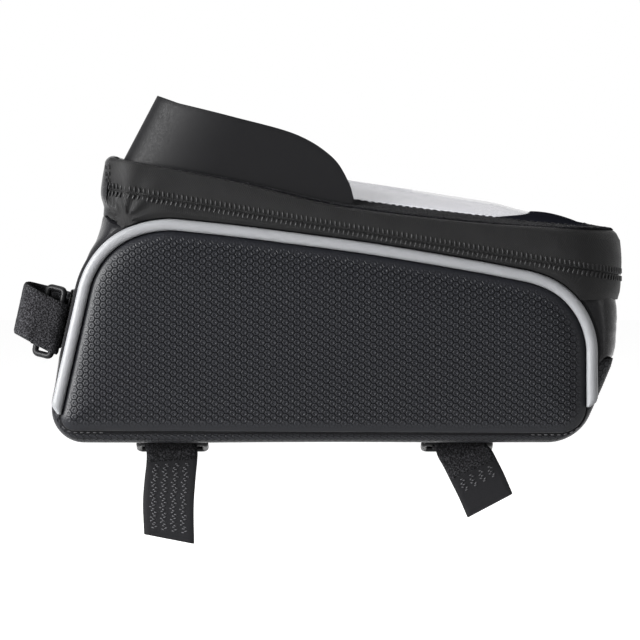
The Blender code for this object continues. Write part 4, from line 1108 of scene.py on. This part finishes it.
def bands():
    band_path, hinge_path = plan_path()
    stations = spaced(band_path, BAND_STEP)
    skirt = [band_section(p, n, zip_z(p.x) + ZIP_LINE, height_on(RIM_CURVE, p.x), rim_roll(p.x),
                          SKIRT_BULGE, 8) for p, n in stations]
    wall = [band_section(p, n, band_foot_z(p.x), zip_z(p.x) - ZIP_LINE, WALL_ROLL, WALL_BULGE, 12)
            for p, n in stations]
    for name, node, rows, owner in (("lid_band", "lid_skirt", skirt, "lid"),
                                    ("body_wall", "body_band", wall, "bag")):
        obj = grid(name, rows, BAND, closed=True, caps=True, sharp=50)
        mark(obj, owner, node)
    inner = -(BAND_THICKNESS + 0.0001)
    for tag, level, owner in (("upper", COIL_OFFSET, "lid"), ("lower", -COIL_OFFSET, "bag")):
        # The relief's lighter colour is a painted highlight on the coil bars
        coil_bars("coil_relief_" + tag, band_path, level, COIL_LIFT, RELIEF_PAINTED_HIGHLIGHT, owner)
        teeth = coil_bars("coil_teeth_" + tag, band_path, level * TEETH_OFFSET_SHARE, inner, COIL, owner)
        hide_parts("zip_coil_" + tag)
    hinge = [band_section(p, n, HINGE_Z - HINGE_LAP, height_on(RIM_CURVE, p.x) + 0.0003, HINGE_ROLL,
                          HINGE_BULGE, 12) for p, n in spaced(hinge_path, BAND_STEP)]
    obj = grid("hinge_wall", hinge, LEATHER, closed=True, caps=True, sharp=50)
    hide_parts("hinge_panel")
    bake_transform(obj)
    for tag, station, step in (("near", hinge_path[0], 1), ("far", hinge_path[-1], -1)):
        hinge_stitches(tag, station, step)


def hinge_stitches(tag, station, step):
    """Two upright lines of stitches where the band and the hinge panel meet."""
    point, normal = station
    along = Vector((-normal.y, normal.x)) * step
    out = Vector((normal.x, normal.y, 0.0))
    low, high = HINGE_Z + 0.003, height_on(RIM_CURVE, point.x) - 0.0012
    for line, shift in (("a", HINGE_STITCH_SHIFT), ("b", -HINGE_STITCH_SHIFT)):
        foot = point + along * shift
        seam = [Vector((foot.x, foot.y, low + (high - low) * k / 20)) + out * 0.0009 for k in range(21)]
        thread = stitches("hinge_stitch_%s_%s" % (tag, line), seam, [out] * len(seam), DARK_THREAD)
        mark(thread, "lid")


# Lid top

def rear_inset(inset):
    """How far a ring stands in from the rider's end, where the margin is wide."""
    if inset <= LOOP_OUTER_INSET:
        return inset
    margin = LID_REAR_X - WINDOW_REAR_X
    if inset <= LOOP_INNER_INSET:
        share = (inset - LOOP_OUTER_INSET) / (LOOP_INNER_INSET - LOOP_OUTER_INSET)
        return LOOP_OUTER_INSET + (margin - LOOP_OUTER_INSET) * share
    share = (inset - LOOP_INNER_INSET) / (LID_HALF_WIDTH - LOOP_INNER_INSET)
    return margin + (LID_REAR_X - FILM_FOLD_X - margin) * share


def lid_ring(stations, inset, drop):
    """A ring of points on the lid's crown, drop below its face."""
    ring = []
    for point, normal in stations:
        end_inset = rear_inset(inset) if point.x > PLAN_CENTRE_X else inset
        x = PLAN_CENTRE_X + (point.x - PLAN_CENTRE_X) * (1.0 - end_inset / PLAN_HALF_LENGTH)
        y = point.y * (1.0 - inset / LID_HALF_WIDTH)
        ring.append(Vector((x, y, lid_z(x, inset_at(x, y)) - drop)))
    return ring


def insets(first, last, count):
    return [first + (last - first) * k / (count - 1) for k in range(count)]


def even_ring(stations, inset, drop):
    """A ring at one distance from the rim all round."""
    ring = []
    for point, normal in stations:
        place = point - normal * inset
        ring.append(Vector((place.x, place.y, lid_z(place.x, inset_at(place.x, place.y)) - drop)))
    return ring


def lid_top():
    stations = flatten(*plan_outline())
    even = spaced(stations + stations[:1], 0.0009)[:-1]
    below = LOOP_THICKNESS + LAYER_GAP
    frame_rows = [lid_ring(stations, inset, below)
                  for inset in insets(BAND_THICKNESS + GAP, FRAME_INNER_INSET, 14)]
    frame_obj = thicken(grid("lid_frame", frame_rows, LEATHER, closed=True, outward=upward),
                        FRAME_THICKNESS, 0)
    mark(frame_obj, "lid", "lid_top_frame")

    loop_rows = []
    for k, inset in enumerate(insets(LOOP_OUTER_INSET, LOOP_INNER_INSET, 16)):
        edge = 0.0005 if k in (0, 15) else 0.0
        loop_rows.append([p + Vector((0.0, 0.0, KNIT_FUZZ * noise.noise(p * 1300.0) - edge))
                          for p in even_ring(even, inset, 0.0)])
    loop = thicken(grid("knit_strip", loop_rows, KNIT, closed=True, outward=upward), LOOP_THICKNESS, 0)
    mark(loop, "lid", "loop_strip")

    film_rows = [lid_ring(stations, inset, 0.0)
                 for inset in insets(LOOP_INNER_INSET + GAP, LID_HALF_WIDTH, 20)]
    film = thicken(grid("window", film_rows, FILM, closed=True, outward=upward), FILM_THICKNESS, 0)
    mark(film, "lid", "window_film")

    seam = even_ring(even, LOOP_INNER_INSET - 0.0010, -0.0002)
    thread = stitches("strip_stitch_inner", seam, [Vector((0, 0, 1))] * len(seam), DARK_THREAD,
                      0.0016, 0.0011, 0.00016)
    mark(thread, "lid")


def rear_cap():
    """Smooth coated fabric between the window's end and the knit strip."""
    half = LID_HALF_WIDTH - LOOP_INNER_INSET + CAP_LAP
    last = LID_REAR_X - LOOP_INNER_INSET + CAP_LAP
    columns = insets(-half, half, 61)
    rows = []
    for i in range(49):
        share = i / 48
        row = []
        for y in columns:
            arch = 1.0 - (abs(y) / half) ** 2.4
            x = (CAP_SIDE_X + (CAP_MIDDLE_X - CAP_SIDE_X) * arch) * (1 - share) + last * share
            swell = math.sin(math.pi * min(1.0, share * 1.15)) ** 0.8 * arch
            row.append(Vector((x, y, lid_z(x, inset_at(x, y)) + 0.0002 + CAP_SWELL * swell)))
        rows.append(row)
    cap = thicken(grid("rear_cap", rows, CAP, outward=upward), CAP_THICKNESS, 1)
    mark(cap, "lid")


# Visor

def visor():
    """One sheet bent round the front, lofted from the lid up to its top edge."""
    top_curve = smooth_curve(VISOR_TOP, 14)
    side_y = LID_HALF_WIDTH - VISOR_INSET
    z_base = lid_z(VISOR_FRONT_X, inset_at(VISOR_FRONT_X, 0.0)) + VISOR_SEAT_GAP
    tip_x = VISOR_FRONT_X + (VISOR_TIP_Z - z_base) * math.tan(VISOR_LEAN)
    tip_curve = [Vector((tip_x, VISOR_TIP_Z))] + top_curve
    levels, steps, turns = 14, 50, 32
    plan = []
    for k in range(steps, -1, -1):
        top_x, base_x = [front + VISOR_BEND_RUN + (VISOR_REAR_X - front - VISOR_BEND_RUN) * k / steps
                         for front in (tip_x, VISOR_FRONT_X)]
        plan.append((Vector((top_x, -side_y)), Vector((base_x, -side_y))))
    for turn in range(1, turns + 1):
        angle = math.pi / 2 * turn / turns
        run = VISOR_BEND_RUN * (1 - math.sin(angle))
        y = -side_y + VISOR_BEND_RADIUS * (1 - math.cos(angle))
        plan.append((Vector((tip_x + run, y)), Vector((VISOR_FRONT_X + run, y))))
    rows = []
    for k in range(levels):
        share = -0.04 + 1.04 * k / (levels - 1)
        near = []
        for top, base in plan:
            low = Vector((base.x, base.y, lid_z(base.x, inset_at(base.x, base.y)) + VISOR_SEAT_GAP))
            near.append(low.lerp(Vector((top.x, top.y, height_on(tip_curve, top.x))), share))
        rows.append(near + [Vector((p.x, -p.y, p.z)) for p in reversed(near)])
    inside = Vector((-0.02, 0.0, 0.10))
    obj = grid("visor_sheet", rows, VISOR_SHEET, outward=lambda p: p - inside, sharp=60)
    thicken(obj, VISOR_THICKNESS, 0)
    ease(obj, 0.0003, 30)
    mark(obj, "lid", "visor")


def visor_hooks(tag, side):
    outer = LID_HALF_WIDTH - VISOR_INSET - VISOR_THICKNESS - GAP
    inner = outer - VISOR_HOOK_WIDTH
    lift = VISOR_HOOK_THICKNESS + LAYER_GAP
    rows = []
    for k in range(60):
        x = VISOR_HOOK_FRONT_X + (VISOR_HOOK_REAR_X - VISOR_HOOK_FRONT_X) * k / 59
        rows.append([Vector((x, side * y, lid_z(x, inset_at(x, y)) + lift)) for y in insets(outer, inner, 8)])
    obj = thicken(grid("visor_tape_" + tag, rows, HOOK_BASE, outward=upward), VISOR_HOOK_THICKNESS, 0)
    mark(obj, "lid", "visor_hook_" + tag)


# Straps and rings

def strap_rows(path, widths, thickness, width, lift=lambda s, t: 0.0):
    """Closed sections of a strap with soft edges; lift(distance along, -1 to 1 across) moves the face."""
    along = lengths_along(path)
    across_steps = 20
    rows = []
    for i, point in enumerate(path):
        ahead = path[min(i + 1, len(path) - 1)] - path[max(i - 1, 0)]
        across = widths[i].normalized()
        out = ahead.cross(across).normalized()
        half = thickness / 2
        row = []
        for face in (1, -1):
            shares = [-1 + 2 * k / across_steps for k in range(across_steps + 1)]
            for t in shares if face > 0 else reversed(shares):
                past = max(0.0, (abs(t) * width / 2 - (width / 2 - half)) / half)
                edge = math.sqrt(max(0.0, 1 - past ** 2))
                height = face * half * (0.35 + 0.65 * edge) + lift(along[i], t)
                row.append(point + across * (t * width / 2) + out * height)
        rows.append(row)
    return rows


def strap(name, node, rows, mat):
    return mark(grid(name, rows, mat, closed=True, caps=True, sharp=70), "bag", node)


def nap(depth, seed):
    """Small unevenness of a strap's face."""
    return lambda s, t: depth * noise.noise(Vector((s * 900, t * 9, seed)))


def wire_ring(name, centre, long_dir, short_dir, node, body):
    """A rectangular ring bent from round wire, its ends welded."""
    long_half = RING_LENGTH / 2 - RING_WIRE
    short_half = RING_WIDTH / 2 - RING_WIRE
    corners = ((-long_half, -short_half), (-long_half, short_half), (long_half, short_half),
               (long_half, -short_half))
    arcs, runs = rounded_outline(corners, (RING_WIRE * 1.2,) * 4, (4, 12, 4, 12), (8, 8, 8, 8))
    up = long_dir.cross(short_dir).normalized()
    rows = []
    stations = flatten(arcs, runs)
    for point, normal in stations + stations[:1]:
        middle = centre + long_dir * point.x + short_dir * point.y
        outward = long_dir * normal.x + short_dir * normal.y
        rows.append([middle + (outward * math.cos(a) + up * math.sin(a)) * RING_WIRE
                     for a in (math.tau * k / 16 for k in range(16))])
    obj = grid(name, rows, RING, closed=True, outward=upward)
    weld = bmesh.new()
    weld.from_mesh(obj.data)
    bmesh.ops.remove_doubles(weld, verts=weld.verts, dist=1e-7)
    bmesh.ops.recalc_face_normals(weld, faces=weld.faces)
    weld.to_mesh(obj.data)
    weld.free()
    mark(obj, body, node)


def strap_frame():
    """Where the head-tube strap is seated, the way forward from there, and the way across the strap."""
    spine = smooth_curve(FRONT_SPINE, 6)
    seat = next(a.lerp(b, (STRAP_SEAT_Z - a.y) / (b.y - a.y))
                for a, b in zip(spine, spine[1:]) if b.y >= STRAP_SEAT_Z)
    width = Vector((math.sin(STRAP_TILT), 0.0, math.cos(STRAP_TILT)))
    forward = Vector((-math.cos(STRAP_TILT), 0.0, math.sin(STRAP_TILT)))
    return Vector((seat.x, 0.0, seat.y)), forward, width


def strap_path(points, per_span=12):
    seat, forward, width = strap_frame()
    route = smooth_curve([Vector(p) for p in points], per_span)
    return [seat + forward * p.x + Vector((0, p.y, 0)) + width * p.z for p in route]


def anchor_patch(lift):
    seat, forward, width = strap_frame()
    rows = []
    for k in range(13):
        w = ANCHOR_HEIGHT * (k / 12 - 0.5)
        rows.append([seat + forward * (lift + ANCHOR_THICKNESS) + Vector((0, y, 0)) + width * w
                     for y in insets(-ANCHOR_WIDTH / 2, ANCHOR_WIDTH / 2, 15)])
    anchor = thicken(grid("anchor_patch", rows, LEATHER, outward=lambda p: forward), ANCHOR_THICKNESS, 1)
    mark(anchor, "bag", "front_strap_anchor")


def front_strap():
    """The strap round the head tube, with its patch, ring tab and ring."""
    seat, forward, width = strap_frame()
    lift = GAP + 0.0006
    anchor_patch(lift)

    seat_n = lift + ANCHOR_THICKNESS + GAP + STRAP_THICKNESS / 2
    wrap = RING_WIRE + GAP + STRAP_THICKNESS / 2
    rear_bar = Vector(HEAD_RING_REAR)
    direction = (Vector(HEAD_RING_FRONT) - rear_bar).normalized()
    front_bar = rear_bar + direction * (RING_WIDTH - 2 * RING_WIRE)
    route = [(seat_n, 0.0015, 0.0), (seat_n, 0.0080, 0.0), (seat_n + 0.0006, 0.0140, 0.0),
             (0.0060, 0.0187, 0.0), (0.0120, 0.0200, 0.0002), (0.0170, 0.0180, 0.0004),
             (0.0196, 0.0120, 0.0006), (0.0202, 0.0, 0.0006), (0.0200, -0.0120, 0.0004),
             (0.0188, -0.0185, 0.0002), (0.0150, -0.0212, -0.0008), (0.0095, -0.0214, -0.0024),
             (rear_bar.x, rear_bar.y - wrap, -0.0038), (rear_bar.x - wrap, rear_bar.y, -0.0042),
             (rear_bar.x, rear_bar.y + wrap, -0.0042), (0.0080, -0.0178, -0.0030),
             (0.0125, -0.0184, -0.0020)]
    path = strap_path(route)
    rows = strap_rows(path, [width] * len(path), STRAP_THICKNESS, STRAP_WIDTH, nap(0.00012, 3.0))
    head = strap("head_strap", "front_strap", rows, LOOP_TAPE)

    drop = HEAD_RING_DROP
    tab_route = [(seat_n, -0.0015, drop), (seat_n, -0.0060, drop), (0.0052, -0.0098, drop),
                 (front_bar.x - 0.0008, front_bar.y + wrap + 0.0001, drop),
                 (front_bar.x + wrap * 0.75, front_bar.y + wrap * 0.75, drop),
                 (front_bar.x + wrap, front_bar.y - 0.0002, drop)]
    path = strap_path(tab_route)
    rows = strap_rows(path, [width] * len(path), STRAP_THICKNESS, STRAP_WIDTH)
    strap("ring_tab", "front_ring_tab", rows, WEB)
    ring_centre = (rear_bar + front_bar) / 2
    centre = seat + forward * ring_centre.x + Vector((0, ring_centre.y, 0)) + width * drop
    short = (forward * direction.x + Vector((0, direction.y, 0))).normalized()
    wire_ring("head_ring", centre, width, short, "front_ring", "bag")


def hanging_points(x, lean):
    """Points down the hanging end, as offset along x, then y, z and the tilt in degrees."""
    if lean:
        table = ((0.0002, -0.0172, -0.0018, 4), (0.0010, -0.0194, -0.0042, 12),
                 (0.0030, -0.0200, -0.0072, 20), (0.0052, -0.0202, -0.0115, 24),
                 (0.0082, -0.0203, -0.0175, 27), (0.0117, -0.0202, -0.0255, 28))
    else:
        table = ((0.0003, -0.0172, -0.0018, 0), (0.0012, -0.0194, -0.0042, 2),
                 (0.0012, -0.0200, -0.0080, 3), (0.0004, -0.0203, -0.0160, 0),
                 (-0.0002, -0.0204, -0.0255, -5), (0.0001, -0.0206, -0.0386, -11))
    result = []
    for dx, y, z, tilt in table:
        angle = math.radians(tilt)
        result.append((Vector((x + dx, y, z)), Vector((math.cos(angle), 0.0, math.sin(angle)))))
    return result


def fine_path(path, widths, per_span=10):
    return smooth_curve(path, per_span), [w.normalized() for w in smooth_curve(widths, per_span)]


def hook_columns(name, path, widths, sign, first, last):
    """Wavy columns of moulded hooks on a strap's face."""
    count = int((last - first) / HOOK_PITCH)
    distances = [first + HOOK_PITCH * (k + 0.5) for k in range(count)]
    across_half, along_half, height = HOOK_BAR
    parts = []
    for k, (i, share) in enumerate(places_at(path, distances)):
        point = path[i].lerp(path[i + 1], share)
        across = widths[i].lerp(widths[i + 1], share).normalized()
        ahead = (path[i + 1] - path[i]).normalized()
        out = ahead.cross(across).normalized() * sign
        weak = 1.0 - 0.55 * (k / count) ** 2
        sway = HOOK_SWAY * math.sin(distances[k] * math.tau / HOOK_WAVE)
        stagger = HOOK_STAGGER if k % 2 else -HOOK_STAGGER
        tilt = (across + ahead * 0.35 * math.sin(k * 2.1)).normalized()
        for column in HOOK_COLUMNS:
            centre = point + across * (column + sway + stagger) + out * (HOOK_THICKNESS / 2)
            parts.append(rounded_bar(centre, tilt * across_half, ahead * along_half, out * height * weak,
                                     0.0002))
    obj = merged(name, parts, HOOKS)
    mark(obj, "bag")


def hook_patch(tag, hang, first):
    """Hook tape on the hanging end's outer face."""
    offset = STRAP_THICKNESS / 2 + GAP + HOOK_THICKNESS / 2
    path, path_widths = [], []
    for i in range(first, len(hang)):
        point, across = hang[i]
        ahead = hang[min(i + 1, len(hang) - 1)][0] - hang[i - 1][0]
        out = ahead.cross(across).normalized()
        if out.y > 0:
            out.negate()
        path.append(point + out * offset)
        path_widths.append(across)
    points, widths = fine_path(path, path_widths)
    rows = strap_rows(points, widths, HOOK_THICKNESS, STRAP_WIDTH - 2 * GAP)
    strap("hook_tape_" + tag, "bottom_hook_patch_" + tag, rows, HOOK_BASE)
    return points, widths


def bottom_strap(tag, x, lean):
    """A strap round the tube: over its ring, under the bag and down, with hook tape and ring."""
    top = -(GAP + STRAP_THICKNESS / 2)
    bar_drop = RING_WIRE + GAP + STRAP_THICKNESS / 2
    bar = Vector((x, STRAP_SEAT_FAR_Y, top - bar_drop))
    fold = []
    for k in range(25):
        angle = math.radians(90 - 245 * k / 24)
        fold.append(Vector((x, bar.y + bar_drop * math.cos(angle), bar.z + bar_drop * math.sin(angle))))
    flat = [Vector((x, STRAP_SEAT_FAR_Y + (STRAP_SEAT_NEAR_Y - STRAP_SEAT_FAR_Y) * k / 3, top))
            for k in range(1, 4)]
    hang = hanging_points(x, lean)
    straight = Vector((1, 0, 0))
    points, widths = fine_path([fold[0]] + flat + [p for p, w in hang],
                               [straight] * (1 + len(flat)) + [w for p, w in hang])
    rows = strap_rows(fold[:0:-1] + points, [straight] * (len(fold) - 1) + widths, STRAP_THICKNESS,
                      STRAP_WIDTH, nap(0.00010, x * 50))
    cloth = strap("under_strap_" + tag, "bottom_strap_" + tag, rows, LOOP_TAPE)

    points, widths = hook_patch(tag, hang, 3 if lean else 2)
    total = lengths_along(points)[-1]
    sign = 1.0 if (points[1] - points[0]).cross(widths[0]).y < 0 else -1.0
    hook_columns("hooks_" + tag, points, widths, sign, 0.0010, total * 0.42 if lean else total - 0.0030)

    droop = Vector((0, math.cos(RING_DROOP), -math.sin(RING_DROOP)))
    centre = bar + droop * (RING_WIDTH / 2 - RING_WIRE)
    wire_ring("under_ring_" + tag, centre, Vector((1, 0, 0)), droop, "bottom_ring_" + tag, "ring_" + tag)


def carried_over():
    """CAD nodes that stay, with better finishes and eased edges."""
    finishes = {"zip_slider_front": LACQUER, "zip_slider_rear": LACQUER, "zip_pull_front": LACQUER,
                "zip_pull_rear": LACQUER, "pocket_back": FELT, "body_lining": FELT, "base_board": BOARD}
    for name, mat in finishes.items():
        obj = frame["nodes"][name]
        obj.data.materials.clear()
        obj.data.materials.append(mat)
        ease(obj, 0.00015, 40)


def seams():
    """Stitching at both ends of the bottom seam."""
    for tag, side in (("near", -1), ("far", 1)):
        line = [Vector((p.x + n.x * 0.0007, side * (half_width(p.y) + 0.0002), p.y + n.y * 0.0007))
                for p, n in PANEL_ARCS[3][FINE * 2:] + PANEL_RUNS[3] + PANEL_ARCS[0][:FINE * 2]]
        ends = {"rear": [p for p in line if p.x > 0.070], "front": [p for p in line if p.x < -0.084]}
        for end, seam in ends.items():
            normals = [Vector((0, side, -0.4))] * len(seam)
            thread = stitches("bottom_stitch_%s_%s" % (tag, end), seam, normals, THREAD, 0.0013, 0.0012,
                              0.00014)
            mark(thread, "bag")


# Stage

PIXEL = 0.000385                # metres to one pixel of the 640-pixel frame, at the near side
VIEW_CENTRE = Vector((-0.00635, -0.045, 0.0477))
VIEW_ELEVATION = math.radians(1.4)
VIEW_DISTANCE = 1.6
SENSOR_WIDTH = 36.0             # millimetres
FRAME_PIXELS = 640
FLOOR_Z = -0.10
FLOOR_HALF = 6.0
FLOOR_GLOW = 0.77
ROOM_LIGHT = 0.25               # the white surroundings' strength as a lamp
LIGHT_TARGET = Vector((0, 0, 0.05))
LIGHTS = (("key", (-1.05, -1.10, 0.60), (0.70, 0.8), 27.0),     # place, size and watts
          ("left", (-1.32, -0.70, 0.22), (0.42, 1.2), 72.0),
          ("top", (-0.2, 0.1, 1.3), (1.0, 0.6), 7.5),
          ("right", (1.3, -0.3, 0.3), (0.2, 0.9), 2.0))


def camera():
    data = bpy.data.cameras.new("camera")
    obj = linked("camera", data)
    data.sensor_width = SENSOR_WIDTH
    data.lens = SENSOR_WIDTH * VIEW_DISTANCE / (PIXEL * FRAME_PIXELS)
    back = Vector((0.0, -math.cos(VIEW_ELEVATION), math.sin(VIEW_ELEVATION)))
    obj.location = VIEW_CENTRE + back * VIEW_DISTANCE
    obj.rotation_mode = "QUATERNION"
    obj.rotation_quaternion = (-back).to_track_quat("-Z", "Y")
    data.clip_start, data.clip_end = 0.05, 50.0
    bpy.context.scene.camera = obj


def area_light(name, location, size, energy):
    data = bpy.data.lights.new(name, "AREA")
    data.shape = "RECTANGLE"
    data.size, data.size_y = size
    data.energy = energy
    obj = linked(name, data)
    obj.location = location
    obj.rotation_mode = "QUATERNION"
    obj.rotation_quaternion = (LIGHT_TARGET - Vector(location)).to_track_quat("-Z", "Y")


def larger_of(tree, first, second):
    node = tree.nodes.new("ShaderNodeMath")
    node.operation = "MAXIMUM"
    tree.links.new(first, node.inputs[0])
    tree.links.new(second, node.inputs[1])
    return node.outputs[0]


def world():
    """White to the camera, to reflections and through the film, and dim as a lamp."""
    scene_world = bpy.data.worlds.new("studio")
    bpy.context.scene.world = scene_world
    scene_world.use_nodes = True
    tree = scene_world.node_tree
    background = tree.nodes["Background"]
    background.inputs["Color"].default_value = (1.0, 1.0, 1.0, 1.0)
    path = tree.nodes.new("ShaderNodeLightPath")
    seen = larger_of(tree, path.outputs["Is Camera Ray"], path.outputs["Is Transmission Ray"])
    glossy = larger_of(tree, seen, path.outputs["Is Glossy Ray"])
    level = tree.nodes.new("ShaderNodeMapRange")
    level.inputs["To Min"].default_value = ROOM_LIGHT
    level.inputs["To Max"].default_value = 1.0
    tree.links.new(glossy, level.inputs["Value"])
    tree.links.new(level.outputs["Result"], background.inputs["Strength"])


def floor():
    """White floor that keeps the shadow."""
    mesh = bpy.data.meshes.new("floor")
    r = FLOOR_HALF
    corners = [(-r, -r, FLOOR_Z), (r, -r, FLOOR_Z), (r, r, FLOOR_Z), (-r, r, FLOOR_Z)]
    mesh.from_pydata(corners, [], [(0, 1, 2, 3)])
    obj = linked("floor", mesh)
    mat = bpy.data.materials.new("floor")
    mat.use_nodes = True
    tree = mat.node_tree
    shader = tree.nodes["Principled BSDF"]
    shader.inputs["Base Color"].default_value = (0.80, 0.80, 0.80, 1.0)
    shader.inputs["Roughness"].default_value = 1.0
    shader.inputs["Specular IOR Level"].default_value = 0.0
    shader.inputs["Emission Color"].default_value = (1.0, 1.0, 1.0, 1.0)
    path = tree.nodes.new("ShaderNodeLightPath")
    level = tree.nodes.new("ShaderNodeMath")
    level.operation = "MULTIPLY"
    level.inputs[1].default_value = FLOOR_GLOW
    seen = larger_of(tree, path.outputs["Is Camera Ray"], path.outputs["Is Glossy Ray"])
    tree.links.new(seen, level.inputs[0])
    tree.links.new(level.outputs[0], shader.inputs["Emission Strength"])
    mesh.materials.append(mat)


def stage():
    bpy.context.scene.view_settings.view_transform = "Standard"
    camera()
    world()
    floor()
    for light in LIGHTS:
        area_light(*light)


stage()
for tag, side in (("near", -1), ("far", 1)):
    side_panel(tag, side)
    piping(tag, side)
    seam_tape(tag, side)
    visor_hooks(tag, side)
front_gusset()
rear_gusset()
bottom_panel()
bands()
lid_top()
rear_cap()
visor()
front_strap()
bottom_strap("front", STRAP_FRONT_X, False)
bottom_strap("rear", STRAP_REAR_X, True)
seams()
carried_over()
